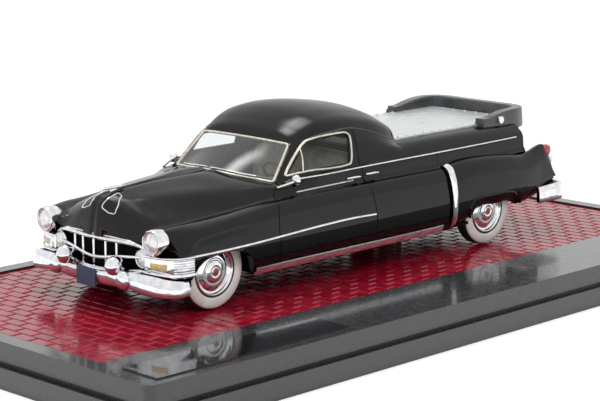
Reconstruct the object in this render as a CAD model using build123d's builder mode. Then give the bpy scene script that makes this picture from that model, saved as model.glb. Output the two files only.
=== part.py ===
# Flower car, 1:43 scale display model on a plinth. Millimetres, +X ahead, +Y to the car's left, +Z up.
# The origin is the middle of the plinth's underside.
# Car sizes are taken from three datums: x from the front axle, y from the car's centre plane,
# z above the paving that the wheels stand on.
import os

from build123d import *

os.makedirs("parts", exist_ok=True)

# Plinth
plinth_length = 204.6
plinth_width = 103.1
plinth_corner = 2.0
tier_height = 4.6
tier_step = 1.6
groove_height = 0.6
groove_depth = 0.7
plinth_height = 9.5
plinth_wall = 2.6
plate_thickness = 1.9
front_margin = 4.0
label_margin = 19.2
paving_thickness = 1.2
paving_drop = 0.4
label_length = 54.0
label_width = 10.4
label_thickness = 0.3
label_from_front = 4.1
label_from_edge = 2.4

# Fasteners
screw_diameter = 3.0
screw_head_diameter = 5.6
screw_head_height = 2.0
screw_clearance = 0.4
boss_diameter = 9.0
boss_height = 4.4
screw_front_x = -13.5
screw_rear_x = -78.0
pillar_diameter = 7.0

# Where the car stands on the plinth
front_axle_x = 51.5
car_offset_y = -4.5

# Car, running gear
wheelbase = 92.74
axle_height = 8.72
axle_diameter = 2.0
axle_clearance = 0.2
tyre_diameter = 17.2
tyre_width = 4.2
tyre_shoulder = 1.3
wheel_diameter = 11.0
wheel_dish = 0.9
cap_diameter = 5.2
cap_rise = 0.7
track_outer = 20.1
arch_clearance = 1.0
skin = 1.3

# Car, body
sill_height = 6.7
body_half = 23.6
belt_height = 25.8
belt_half = 20.4
deck_height = 29.0
deck_half = 16.2
chassis_thickness = 1.2
chassis_half = 12.5
cabin_front_x = -24.0
cabin_rear_x = -52.0
cabin_floor_z = 9.0
roof_wall = 1.3
glass_thickness = 0.5
glass_inset = 0.25
trim_rise = 0.35
seat_gap = 0.3

paving_top = plinth_height - paving_drop
rear_axle = -wheelbase


def station(x):
    """Upright plane across the car, with its sketch in y and z."""
    return Plane(origin=(front_axle_x + x, car_offset_y, paving_top), x_dir=(0, 1, 0), z_dir=(1, 0, 0))


def side(y):
    """Upright plane along the car, with its sketch in x and z, facing the right side."""
    return Plane(origin=(front_axle_x, car_offset_y + y, paving_top), x_dir=(1, 0, 0), z_dir=(0, -1, 0))


def level(z):
    """Level plane over the paving, with its sketch in x and y."""
    return Plane(origin=(front_axle_x, car_offset_y, paving_top + z), x_dir=(1, 0, 0), z_dir=(0, 0, 1))


mid_plane = side(0)


def save(piece, name):
    piece.part.label = name
    export_step(piece.part, "parts/" + name + ".step")


# Plinth: two tiers with a groove between them, hollow below, with a recess for the paving
upper_length = plinth_length - 2 * tier_step
upper_width = plinth_width - 2 * tier_step
groove_top = tier_height + groove_height
paving_length = upper_length - 2 * front_margin
paving_width = upper_width - front_margin - label_margin
paving_y = (front_margin - label_margin) / 2
recess_floor = paving_top - paving_thickness
hollow_top = recess_floor - plate_thickness
screw_places = [(front_axle_x + screw_front_x, car_offset_y), (front_axle_x + screw_rear_x, car_offset_y)]
seat_z = hollow_top - boss_height + screw_head_height + seat_gap

with BuildPart() as plinth:
    with BuildSketch():
        RectangleRounded(plinth_length, plinth_width, plinth_corner)
    extrude(amount=tier_height)
    with BuildSketch(Plane.XY.offset(tier_height)):
        RectangleRounded(upper_length - 2 * groove_depth, upper_width - 2 * groove_depth, plinth_corner / 2)
    extrude(amount=groove_height)
    with BuildSketch(Plane.XY.offset(groove_top)):
        RectangleRounded(upper_length, upper_width, plinth_corner)
    extrude(amount=plinth_height - groove_top)
    with BuildSketch(Plane.XY.offset(recess_floor)):
        with Locations((0, paving_y)):
            Rectangle(paving_length, paving_width)
    extrude(amount=paving_thickness + paving_drop, mode=Mode.SUBTRACT)
    with BuildSketch():
        RectangleRounded(upper_length - 2 * plinth_wall, upper_width - 2 * plinth_wall, plinth_corner)
    extrude(amount=hollow_top, mode=Mode.SUBTRACT)
    with BuildSketch(Plane.XY.offset(hollow_top - boss_height)):
        with Locations(*screw_places):
            Circle(boss_diameter / 2)
    extrude(amount=boss_height)
    with BuildSketch(Plane.XY.offset(hollow_top - boss_height)):
        with Locations(*screw_places):
            Circle(screw_head_diameter / 2 + screw_clearance)
    extrude(amount=screw_head_height + seat_gap, mode=Mode.SUBTRACT)
    with BuildSketch(Plane.XY.offset(hollow_top - boss_height)):
        with Locations(*screw_places):
            Circle((screw_diameter + screw_clearance) / 2)
    extrude(amount=plinth_height, mode=Mode.SUBTRACT)
save(plinth, "plinth")

with BuildPart() as paving:
    with BuildSketch(Plane.XY.offset(recess_floor)):
        with Locations((0, paving_y)):
            Rectangle(paving_length, paving_width)
        with Locations(*screw_places):
            Circle((screw_diameter + screw_clearance) / 2, mode=Mode.SUBTRACT)
    extrude(amount=paving_thickness)
save(paving, "paving")

label_x = upper_length / 2 - label_from_front - label_length / 2
label_y = upper_width / 2 - label_from_edge - label_width / 2
with BuildPart() as label_plate:
    with BuildSketch(Plane.XY.offset(plinth_height)):
        with Locations((label_x, label_y)):
            RectangleRounded(label_length, label_width, label_thickness)
    extrude(amount=label_thickness)
save(label_plate, "label_plate")

# Pillars under the chassis, and the screws that come up through them from under the plinth
chassis_under = sill_height - chassis_thickness
with BuildPart() as mounting_pillars:
    with BuildSketch(level(0)):
        with Locations((screw_front_x, 0), (screw_rear_x, 0)):
            Circle(pillar_diameter / 2)
            Circle((screw_diameter + screw_clearance) / 2, mode=Mode.SUBTRACT)
    extrude(amount=chassis_under)
save(mounting_pillars, "mounting_pillars")

screw_length = paving_top + chassis_under - seat_z
with BuildPart() as mounting_screws:
    with BuildSketch(Plane.XY.offset(seat_z - screw_head_height)):
        with Locations(*screw_places):
            Circle(screw_head_diameter / 2)
    extrude(amount=screw_head_height)
    with BuildSketch(Plane.XY.offset(seat_z)):
        with Locations(*screw_places):
            Circle(screw_diameter / 2)
    extrude(amount=screw_length)
save(mounting_screws, "mounting_screws")

hull_rear_x = -77.0
fender_front_x = -71.0
# Lower hull. Columns: x, sill z, sill y, side y, shoulder y, shoulder z, crest y, crest z
hull_rows = [
    (15.6, 9.4, 21.4, 22.6, 21.1, 19.2, 17.6, 20.5),
    (6.0, 7.8, 21.8, 23.4, 22.5, 20.0, 18.8, 21.3),
    (-15.0, sill_height, 22.2, 23.6, 22.9, 20.6, 20.0, 21.8),
    (-46.0, sill_height, 22.2, 23.6, 22.9, 21.0, 20.4, 22.4),
    (hull_rear_x, sill_height, 22.0, 23.2, 22.5, 20.8, 20.4, 22.2),
]
# Upper body from cowl to tail. Columns: x, foot y, belt y, belt z
belt_rows = [
    (-18.5, 21.2, 19.6, 25.4),
    (-30.0, 21.4, belt_half, belt_height),
    (-60.0, 21.4, belt_half, belt_height),
    (-84.0, 21.0, 20.2, 25.9),
    (-107.0, 19.8, 19.2, 26.0),
]
upper_foot_z = 20.2
# Deck box behind the cab. Columns: x, foot y, shoulder y, shoulder z, top y, top z
deck_rows = [
    (-52.0, 19.9, 19.1, 27.6, deck_half, deck_height),
    (-80.0, 19.7, 18.9, 27.6, deck_half, deck_height),
    (-106.5, 18.7, 17.9, 27.2, 15.8, deck_height),
]
deck_foot_z = 23.5
# Bonnet. Columns: x, foot z, half width, flank z, crown z
bonnet_rows = [
    (17.4, 17.0, 8.4, 17.5, 18.9),
    (16.4, 15.0, 10.8, 17.8, 21.6),
    (13.5, 13.0, 12.6, 18.8, 23.7),
    (6.0, 13.0, 14.0, 20.0, 25.1),
    (-8.0, 13.0, 16.2, 20.6, 26.0),
    (-22.0, 13.0, 19.0, 21.2, 26.3),
]
# Rear fenders. Columns: x, foot z, side y, crest y, crest z, inner y
fender_rows = [
    (fender_front_x, 6.9, 23.8, 21.6, 21.9, 15.0),
    (-79.0, 7.8, 23.9, 21.7, 23.4, 15.0),
    (-86.0, 9.0, 23.9, 21.7, 23.9, 15.0),
    (-98.0, 9.0, 23.6, 21.4, 23.0, 15.0),
    (-108.0, 9.8, 22.8, 20.9, 22.0, 15.5),
    (-114.6, 11.2, 21.9, 20.4, 22.4, 16.5),
    (-118.4, 12.6, 21.3, 20.2, 17.6, 17.0),
]
# Front edge of the rear fender, side view, as an arc
fender_edge = [(-71.9, 25.0), (-75.5, 14.8), (-73.6, 5.0)]
fender_cut_x = -66.0
# Roof. Columns: x, foot y, drip y, drip z, crown z
roof_rows = [
    (-20.0, 18.0, 16.8, 26.0, 26.8),
    (-28.4, 18.9, 15.6, 32.9, 33.5),
    (-31.0, 19.3, 16.7, 33.4, 36.6),
    (-35.0, 19.6, 17.2, 33.9, 38.3),
    (-40.0, 19.8, 17.3, 34.2, 39.2),
    (-48.0, 19.8, 17.2, 33.8, 38.8),
    (-56.0, 19.6, 16.9, 31.4, 37.2),
    (-60.0, 19.2, 16.0, 30.4, 35.8),
    (-64.0, 17.5, 13.6, 29.6, 34.0),
    (-67.5, 14.0, 9.8, 29.4, 32.2),
    (-70.5, 11.0, 6.0, 29.2, 30.7),
    (-72.8, 8.5, 3.0, 28.8, 29.5),
]
roof_foot_z = 23.0
windscreen_foot = (-21.4, 25.2)
windscreen_head = (-28.4, 33.0)

# The tables' y columns, and what sits on the forms, follow body_half. It stands for the widest side y of the
# hull's table
widen = body_half / max(row[3] for row in hull_rows)


def widened(rows, *columns):
    """Rows of a form with the values in its y columns brought to the body's width."""
    return [tuple(value * widen if column in columns else value for column, value in enumerate(row))
            for row in rows]


hull_rows = widened(hull_rows, 2, 3, 4, 6)
belt_rows = widened(belt_rows, 1, 2)
deck_rows = widened(deck_rows, 1, 2, 4)
bonnet_rows = widened(bonnet_rows, 2)
fender_rows = widened(fender_rows, 2, 3, 5)
roof_rows = widened(roof_rows, 1, 2)
rear_core_half = 17.5 * widen
cabin_half = 18.6 * widen
# How far out the blocks that cut or carry side view outlines reach, and how deep they go
band_reach = body_half + 2.4
trim_band = 8.0
window_band = 12.0
arch_band = 5.0


def hull_form(grow=0.0):
    with BuildPart() as form:
        for x, sill_z, sill_y, side_y, shoulder_y, shoulder_z, crest_y, crest_z in hull_rows:
            with BuildSketch(station(x)):
                with BuildLine():
                    Line((0, sill_z), (sill_y + grow, sill_z))
                    ThreePointArc((sill_y + grow, sill_z), (side_y + grow, 14.5),
                                  (shoulder_y + grow, shoulder_z))
                    Line((shoulder_y + grow, shoulder_z), (crest_y + grow, crest_z + grow))
                    Line((crest_y + grow, crest_z + grow), (0, crest_z + grow))
                    Line((0, crest_z + grow), (0, sill_z))
                make_face()
        loft()
        mirror(about=mid_plane)
    return form.part


def upper_form(grow=0.0):
    with BuildPart() as form:
        for x, foot_y, belt_y, belt_z in belt_rows:
            with BuildSketch(station(x)):
                with BuildLine():
                    Polyline((-foot_y - grow, upper_foot_z), (foot_y + grow, upper_foot_z),
                             (belt_y + grow, belt_z), (-belt_y - grow, belt_z), close=True)
                make_face()
        loft()
    return form.part


def deck_form(grow=0.0):
    with BuildPart() as form:
        for x, foot_y, shoulder_y, shoulder_z, top_y, top_z in deck_rows:
            with BuildSketch(station(x)):
                with BuildLine():
                    Line((-foot_y - grow, deck_foot_z), (foot_y + grow, deck_foot_z))
                    ThreePointArc((foot_y + grow, deck_foot_z), (shoulder_y + grow, shoulder_z),
                                  (top_y + grow, top_z))
                    Line((top_y + grow, top_z), (-top_y - grow, top_z))
                    ThreePointArc((-top_y - grow, top_z), (-shoulder_y - grow, shoulder_z),
                                  (-foot_y - grow, deck_foot_z))
                make_face()
        loft()
    return form.part


def bonnet_form():
    with BuildPart() as form:
        for x, foot_z, half, flank_z, crown_z in bonnet_rows:
            with BuildSketch(station(x)):
                with BuildLine():
                    Line((-half, foot_z), (half, foot_z))
                    Line((half, foot_z), (half, flank_z))
                    EllipticalCenterArc((0, flank_z), half, crown_z - flank_z, start_angle=0, arc_size=180)
                    Line((-half, flank_z), (-half, foot_z))
                make_face()
        loft()
    return form.part


def fender_form(grow=0.0):
    with BuildPart() as form:
        for x, foot_z, side_y, crest_y, crest_z, inner_y in fender_rows:
            with BuildSketch(station(x)):
                with BuildLine():
                    Line((inner_y, foot_z), (side_y - 1.2 + grow, foot_z))
                    ThreePointArc((side_y - 1.2 + grow, foot_z), (side_y + grow, 15.0),
                                  (side_y - 0.8 + grow, crest_z - 2.0))
                    ThreePointArc((side_y - 0.8 + grow, crest_z - 2.0),
                                  (side_y - 1.3 + grow, crest_z - 0.7 + grow),
                                  (crest_y, crest_z + grow))
                    Line((crest_y, crest_z + grow), (inner_y, crest_z - 1.5))
                    Line((inner_y, crest_z - 1.5), (inner_y, foot_z))
                make_face()
        loft()
        mirror(about=mid_plane)
        with BuildSketch(mid_plane):
            with BuildLine():
                ThreePointArc(*fender_edge)
                Polyline(fender_edge[2], (fender_cut_x, fender_edge[2][1]), (fender_cut_x, fender_edge[0][1]),
                         fender_edge[0])
            make_face()
        extrude(amount=band_reach, both=True, mode=Mode.SUBTRACT)
    return form.part


def roof_form(shrink=0.0, rows=roof_rows, foot_z=roof_foot_z):
    with BuildPart() as form:
        for x, foot_y, drip_y, drip_z, crown_z in rows:
            with BuildSketch(station(x)):
                with BuildLine():
                    Line((-foot_y + shrink, foot_z), (foot_y - shrink, foot_z))
                    Line((foot_y - shrink, foot_z), (drip_y - shrink, drip_z - shrink))
                    EllipticalCenterArc((0, drip_z - shrink), drip_y - shrink,
                                        crown_z - drip_z, start_angle=0, arc_size=180)
                    Line((-drip_y + shrink, drip_z - shrink), (-foot_y + shrink, foot_z))
                make_face()
        loft()
    return form.part


def front_space():
    """What lies ahead of the windscreen's flat raked face, to be cut off the roof form."""
    with BuildPart() as space:
        with BuildSketch(mid_plane):
            with BuildLine():
                Polyline((windscreen_foot[0] + 0.9, windscreen_foot[1] - 1.0), windscreen_foot,
                         windscreen_head, (windscreen_head[0], windscreen_head[1] + 3.0),
                         (-10.0, windscreen_head[1] + 3.0), (-10.0, windscreen_foot[1] - 1.0), close=True)
            make_face()
        extrude(amount=body_half, both=True)
    return space.part


def rear_core():
    """The body between the rear fenders."""
    with BuildPart() as form:
        with BuildSketch(mid_plane):
            with BuildLine():
                Polyline((hull_rear_x, 7.5), (-107.0, 10.5), (-111.5, 13.0), (-110.2, 21.5),
                         (hull_rear_x, 21.5), close=True)
            make_face()
        extrude(amount=rear_core_half, both=True)
    return form.part


def side_band(points, depth):
    """A side view outline carried across the car as two blocks, one at each side."""
    with BuildPart() as band:
        with BuildSketch(side(band_reach), side(depth - band_reach)):
            with BuildLine():
                Polyline(*points, close=True)
            make_face()
        extrude(amount=depth)
    return band.part


def trim_on(form, grown, outline, name):
    """Trim that lies on a form: the outline's blocks, within the grown form and outside the form."""
    with BuildPart() as trim:
        add(side_band(outline, trim_band))
        add(grown, mode=Mode.INTERSECT)
        add(form, mode=Mode.SUBTRACT)
    save(trim, name)


# Door window outline, side view, and the bright frame round it
window_outline = [(-23.4, 26.9), (-29.2, 32.5), (-32.6, 33.5), (-43.6, 33.7), (-44.8, 32.6), (-43.2, 26.9)]
frame_outline = [(-22.3, 26.4), (-28.9, 33.0), (-32.5, 34.0), (-43.9, 34.2), (-45.4, 32.8), (-43.6, 26.4)]
screen_run = windscreen_foot[0] - windscreen_head[0]
screen_rise = windscreen_head[1] - windscreen_foot[1]
screen_length = (screen_run ** 2 + screen_rise ** 2) ** 0.5
screen_plane = Plane(
    origin=(front_axle_x + windscreen_foot[0], car_offset_y, paving_top + windscreen_foot[1]),
    x_dir=(0, 1, 0), z_dir=(screen_rise, 0, screen_run))
screen_foot_half = 15.7 * widen
screen_head_half = 14.3 * widen
frame_width = 0.6


def screen_corners(inset):
    """Corners of the windscreen on its plane, drawn in by inset."""
    foot = screen_foot_half - inset
    head = screen_head_half - inset
    return [(-foot, inset), (foot, inset), (head, screen_length - inset), (-head, screen_length - inset)]


# Cabin space inside the shell: under the roof, over the floor, and up to the back of the windscreen
lap = 0.4
shelf_z = deck_height + 0.8
shelf_run = 40.0
screen_wall = 1.5
header_depth = 5.0
cowl_space_half = 13.7 * widen
cowl_space_foot_z = 22.0
with BuildPart() as cabin_space:
    add(roof_form(roof_wall, roof_rows[1:-1]))
    with BuildSketch(level(cowl_space_foot_z)):
        with Locations((cabin_rear_x - shelf_run / 2, 0)):
            Rectangle(shelf_run, 2 * body_half)
    extrude(amount=shelf_z - cowl_space_foot_z, mode=Mode.SUBTRACT)
    with BuildSketch(level(cabin_floor_z)):
        with Locations(((cabin_front_x + cabin_rear_x) / 2, 0)):
            Rectangle(cabin_front_x - cabin_rear_x, 2 * cabin_half)
    extrude(amount=roof_foot_z + lap - cabin_floor_z)
    with BuildSketch(mid_plane):
        with BuildLine():
            Polyline((windscreen_foot[0] - screen_wall, cowl_space_foot_z),
                     (windscreen_foot[0] - screen_wall, windscreen_foot[1]),
                     (windscreen_head[0] - screen_wall, windscreen_head[1] - screen_wall),
                     (windscreen_head[0] - header_depth, windscreen_head[1] - screen_wall),
                     (windscreen_head[0] - header_depth, cowl_space_foot_z), close=True)
        make_face()
    extrude(amount=cowl_space_half, both=True)

well_radius = tyre_diameter / 2 + arch_clearance
front_arch = [(8.9, 5.0), (8.6, 9.4), (6.8, 11.8), (3.4, 13.1), (-3.4, 13.2), (-6.9, 12.0), (-8.6, 9.6),
              (-8.8, 5.0)]
rear_arch = [(-83.6, 5.0), (-83.8, 9.6), (-86.0, 10.8), (-99.5, 10.8), (-101.6, 9.6), (-101.8, 5.0)]
rear_window_front_x = -60.0
rear_window_rear_x = -66.0
rear_window_half = 8.0 * widen

mouth_outline = widened([(0, 17.0), (12.0, 17.6), (14.6, 16.6), (15.6, 14.6), (15.6, 11.8), (12.5, 10.9),
                         (5.0, 10.4), (0, 10.2)], 0)
mouth_back_x = 13.0
with BuildPart() as mouth_space:
    with BuildSketch(station(mouth_back_x)):
        with BuildLine():
            Polyline(*mouth_outline)
            mirror(about=Plane.YZ)
        make_face()
    extrude(amount=8.0)

with BuildPart() as body_shell:
    add(hull_form())
    add(upper_form())
    add(deck_form())
    add(bonnet_form())
    add(fender_form())
    add(rear_core())
    add(roof_form())
    add(front_space(), mode=Mode.SUBTRACT)
    add(cabin_space.part, mode=Mode.SUBTRACT)
    add(mouth_space.part, mode=Mode.SUBTRACT)
    with BuildSketch(screen_plane):
        with BuildLine():
            Polyline(*screen_corners(frame_width), close=True)
        make_face()
    extrude(amount=-3.0, mode=Mode.SUBTRACT)
    add(side_band(window_outline, window_band), mode=Mode.SUBTRACT)
    with BuildSketch(level(shelf_z)):
        with Locations(((rear_window_front_x + rear_window_rear_x) / 2, 0)):
            Rectangle(rear_window_front_x - rear_window_rear_x, 2 * rear_window_half)
    extrude(amount=10.0, mode=Mode.SUBTRACT)
    add(side_band(front_arch, arch_band), mode=Mode.SUBTRACT)
    add(side_band(rear_arch, arch_band), mode=Mode.SUBTRACT)
    for axle_x in (0.0, rear_axle):
        for outer in (body_half - skin, -track_outer + tyre_width + arch_clearance):
            with BuildSketch(side(outer)):
                with Locations((axle_x, axle_height)):
                    Circle(well_radius)
            extrude(amount=body_half - skin - track_outer + tyre_width + arch_clearance, mode=Mode.SUBTRACT)
        with BuildSketch(mid_plane):
            with Locations((axle_x, axle_height)):
                Circle(axle_diameter / 2 + axle_clearance)
        extrude(amount=body_half - 2.0, both=True, mode=Mode.SUBTRACT)
    with BuildSketch(level(0)):
        with Locations((screw_front_x, 0), (screw_rear_x, 0)):
            Circle((screw_diameter + screw_clearance) / 2)
    extrude(amount=sill_height + 5.0, mode=Mode.SUBTRACT)
save(body_shell, "body_shell")
shell = body_shell.part

chassis_front_x = 12.0
chassis_rear_x = -104.0
with BuildPart() as chassis_plate:
    with BuildSketch(level(chassis_under)):
        with Locations(((chassis_front_x + chassis_rear_x) / 2, 0)):
            Rectangle(chassis_front_x - chassis_rear_x, 2 * chassis_half)
    extrude(amount=chassis_thickness)
    add(shell, mode=Mode.SUBTRACT)
save(chassis_plate, "chassis_plate")

# Glass, flush in its openings
hull = hull_form()
upper = upper_form()
roof = roof_form()

with BuildPart() as windscreen_glass:
    with BuildSketch(screen_plane):
        with BuildLine():
            Polyline(*screen_corners(frame_width), close=True)
        make_face()
    extrude(amount=-glass_thickness)
save(windscreen_glass, "windscreen_glass")

glass_layer_outer = roof_form(glass_inset)
glass_layer_inner = roof_form(glass_inset + glass_thickness)
for name, outer_y in (("door_glass_left", band_reach), ("door_glass_right", window_band - band_reach)):
    with BuildPart() as door_glass:
        with BuildSketch(side(outer_y)):
            with BuildLine():
                Polyline(*window_outline, close=True)
            make_face()
        extrude(amount=window_band)
        add(glass_layer_outer, mode=Mode.INTERSECT)
        add(glass_layer_inner, mode=Mode.SUBTRACT)
    save(door_glass, name)

with BuildPart() as rear_glass:
    with BuildSketch(level(shelf_z)):
        with Locations(((rear_window_front_x + rear_window_rear_x) / 2, 0)):
            Rectangle(rear_window_front_x - rear_window_rear_x, 2 * rear_window_half)
    extrude(amount=10.0)
    add(glass_layer_outer, mode=Mode.INTERSECT)
    add(glass_layer_inner, mode=Mode.SUBTRACT)
save(rear_glass, "rear_glass")

with BuildPart() as windscreen_frame:
    with BuildSketch(screen_plane):
        with BuildLine():
            Polyline(*screen_corners(0), close=True)
        make_face()
        with BuildLine():
            Polyline(*screen_corners(frame_width), close=True)
        make_face(mode=Mode.SUBTRACT)
    extrude(amount=trim_rise)
    add(shell, mode=Mode.SUBTRACT)
save(windscreen_frame, "windscreen_frame")

# Bright trim that follows the shell
roof_grown = roof_form(-trim_rise)
hull_grown = hull_form(trim_rise)
upper_grown = upper_form(trim_rise)
with BuildPart() as door_window_frames:
    add(side_band(frame_outline, window_band))
    add(side_band(window_outline, window_band), mode=Mode.SUBTRACT)
    add(roof_grown, mode=Mode.INTERSECT)
    add(roof, mode=Mode.SUBTRACT)
    add(front_space(), mode=Mode.SUBTRACT)
    add(windscreen_glass.part, mode=Mode.SUBTRACT)
save(door_window_frames, "door_window_frames")

belt_outline = [(-23.0, 25.0), (-23.0, 25.7), (-104.0, 25.7), (-104.0, 25.0)]
spear_outline = [(7.4, 13.9), (7.4, 14.6), (-20.0, 15.7), (-47.0, 15.7), (-47.6, 15.3), (-47.0, 14.9),
                 (-20.0, 14.9)]
strip_outline = [(-20.2, 23.3), (-20.2, 23.7), (-40.0, 23.5), (-40.0, 23.1)]
rocker_outline = [(-8.9, sill_height), (-8.9, 8.3), (-73.6, 8.4), (-73.6, sill_height)]
panel_outline = [(16.8, 10.4), (16.8, 13.9), (7.2, 13.6), (9.2, 10.4)]
trim_on(upper, upper_grown, belt_outline, "belt_trims")
trim_on(hull, hull_grown, spear_outline, "side_spears")
trim_on(upper, upper_grown, strip_outline, "door_strips")
trim_on(hull, hull_grown, rocker_outline, "rocker_strips")
trim_on(hull, hull_grown, panel_outline, "fender_side_panels")

guard_rise = 2 * trim_rise
guard_width = 1.7
with BuildPart() as stone_guards:
    with BuildSketch(side(band_reach), side(trim_band - band_reach)):
        with BuildLine():
            ThreePointArc(*fender_edge)
            Line(fender_edge[2], (fender_edge[2][0] - guard_width, fender_edge[2][1]))
            ThreePointArc(*[(x - guard_width, z) for x, z in reversed(fender_edge)])
            Line((fender_edge[0][0] - guard_width, fender_edge[0][1]), fender_edge[0])
        make_face()
    extrude(amount=trim_band)
    add(fender_form(guard_rise), mode=Mode.INTERSECT)
    add(shell, mode=Mode.SUBTRACT)
save(stone_guards, "stone_guards")

# Cabin fittings
seat_half = 16.5 * widen
dash_half = 16.6 * widen
floor_thickness = 1.0
with BuildPart() as cabin_floor:
    with BuildSketch(level(cabin_floor_z)):
        with Locations(((cabin_front_x + cabin_rear_x) / 2, 0)):
            Rectangle(cabin_front_x - cabin_rear_x, 2 * cabin_half)
    extrude(amount=floor_thickness)
save(cabin_floor, "cabin_floor")

seat_base_z = cabin_floor_z + floor_thickness
with BuildPart() as bench_seat:
    with BuildSketch(mid_plane):
        with BuildLine():
            Polyline((-36.5, seat_base_z), (-36.0, 17.6), (-37.2, 18.6), (-46.0, 17.2), (-48.2, 27.6),
                     (-49.8, 28.2), (-51.0, 27.2), (-50.4, seat_base_z), close=True)
        make_face()
        fillet(vertices(), radius=0.4)
    extrude(amount=seat_half, both=True)
save(bench_seat, "bench_seat")

with BuildPart() as dashboard:
    with BuildSketch(mid_plane):
        with BuildLine():
            Polyline((cabin_front_x, 19.0), (cabin_front_x, 23.3), (-25.8, 23.3), (-26.8, 22.8),
                     (-27.2, 20.0), (-26.2, 19.0), close=True)
        make_face()
    extrude(amount=dash_half, both=True)
save(dashboard, "dashboard")

driver_half = 8.2 * widen
wheel_plane = Plane(origin=(front_axle_x - 30.6, car_offset_y + driver_half, paving_top + 24.0),
                    x_dir=(0, 1, 0), z_dir=(-0.85, 0, 0.53))
with BuildPart() as steering_wheel:
    with BuildSketch(wheel_plane):
        Circle(4.2)
        Circle(3.7, mode=Mode.SUBTRACT)
        Rectangle(7.8, 0.5)
        Circle(0.8)
    extrude(amount=0.4)
    with BuildSketch(wheel_plane):
        Circle(0.35)
    extrude(amount=-3.6)
    add(dashboard.part, mode=Mode.SUBTRACT)
save(steering_wheel, "steering_wheel")

# Front end
bumper_front_x = 19.4
bumper_side = body_half + 0.7
bumper_corner_x = 18.0
bumper_end_x = 10.8
bumper_foot_z = 7.2
bumper_height = 2.9
bumper_thickness = 1.2


def bumper_outline(inset):
    """Plan view of the bumper's outside, drawn in by inset, as a closed outline."""
    front = bumper_front_x - inset
    half = bumper_side - inset
    corner = bumper_corner_x - inset
    with BuildLine() as outline:
        ThreePointArc((corner, half - 2.6), (front, 0), (corner, 2.6 - half))
        ThreePointArc((corner, 2.6 - half), (corner - 1.2, 0.7 - half), (corner - 3.4, -half))
        Line((corner - 3.4, -half), (bumper_end_x, -half))
        Line((bumper_end_x, -half), (bumper_end_x, half))
        Line((bumper_end_x, half), (corner - 3.4, half))
        ThreePointArc((corner - 3.4, half), (corner - 1.2, half - 0.7), (corner, half - 2.6))
    return outline.line


bullet_half = 8.2
bullet_z = 11.1
bullet_radius = 2.0
bullet_base_x = 17.6
bullet_tip_x = 20.6
guard_half = 12.6
guard_width_y = 2.6
guard_z = 9.6
guard_height = 5.4
guard_back_x = 17.8
guard_depth = 2.0
iron_half = 9.0
iron_width = 2.0
iron_height = 1.2
iron_back_x = 9.5
with BuildPart() as front_bumper:
    with BuildSketch(level(bumper_foot_z)):
        make_face(bumper_outline(0).edges())
        make_face(bumper_outline(bumper_thickness).edges(), mode=Mode.SUBTRACT)
    extrude(amount=bumper_height)
    for y in (bullet_half, -bullet_half):
        with BuildSketch(level(bullet_z)):
            with BuildLine():
                Polyline((bullet_tip_x - bullet_radius, y + bullet_radius),
                         (bullet_base_x, y + bullet_radius), (bullet_base_x, y), (bullet_tip_x, y))
                RadiusArc((bullet_tip_x, y), (bullet_tip_x - bullet_radius, y + bullet_radius), bullet_radius)
            make_face()
        revolve(axis=Axis((front_axle_x, car_offset_y + y, paving_top + bullet_z), (1, 0, 0)))
    with BuildSketch(station(guard_back_x)):
        with Locations((guard_half, guard_z), (-guard_half, guard_z)):
            Rectangle(guard_width_y, guard_height)
    extrude(amount=guard_depth)
    with BuildSketch(station(iron_back_x)):
        with Locations(*[(way * iron_half, sill_height + iron_height / 2) for way in (1, -1)]):
            Rectangle(iron_width, iron_height)
    extrude(amount=bumper_corner_x - iron_back_x)
save(front_bumper, "front_bumper")

# Grille: bars across the mouth, bent round the nose in plan
grille_front_x = 17.9
grille_sag = 3.0
grille_reach = 16.4 * widen
grille_bar = 0.8
grille_posts = [1.6 * widen, 4.0 * widen, 7.4 * widen, 9.9 * widen]
cross_bar = widened([(-15.2, 14.6), (-9.0, 14.0), (0, 12.9), (9.0, 14.0), (15.2, 14.6),
                     (15.2, 13.8), (9.0, 13.2), (0, 12.1), (-9.0, 13.2), (-15.2, 13.8)], 0)
grille_depth = 1.0
backing_thickness = 0.6


def nose_band(front, thickness):
    """A band bent round the nose in plan, from its front face back by a thickness."""
    with BuildPart() as band:
        with BuildSketch(level(9.0)):
            with BuildLine():
                ThreePointArc((front - grille_sag, -grille_reach), (front, 0),
                              (front - grille_sag, grille_reach))
                Line((front - grille_sag, grille_reach), (front - grille_sag - thickness, grille_reach))
                ThreePointArc((front - grille_sag - thickness, grille_reach), (front - thickness, 0),
                              (front - grille_sag - thickness, -grille_reach))
                Line((front - grille_sag - thickness, -grille_reach), (front - grille_sag, -grille_reach))
            make_face()
        extrude(amount=10.0)
    return band.part


with BuildPart() as grille:
    with BuildSketch(station(mouth_back_x)) as bars:
        with BuildLine():
            Polyline(*mouth_outline)
            mirror(about=Plane.YZ)
        make_face()
        offset(amount=-grille_bar, mode=Mode.SUBTRACT)
        with BuildLine():
            Polyline(*cross_bar, close=True)
        make_face()
        with Locations(*[(way * y, 13.9) for y in grille_posts for way in (1, -1)]):
            Rectangle(0.5, 6.4)
    extrude(amount=8.0)
    add(nose_band(grille_front_x, grille_depth), mode=Mode.INTERSECT)
save(grille, "grille")

with BuildPart() as grille_backing:
    add(mouth_space.part)
    add(nose_band(grille_front_x - grille_depth, backing_thickness), mode=Mode.INTERSECT)
save(grille_backing, "grille_backing")

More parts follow.
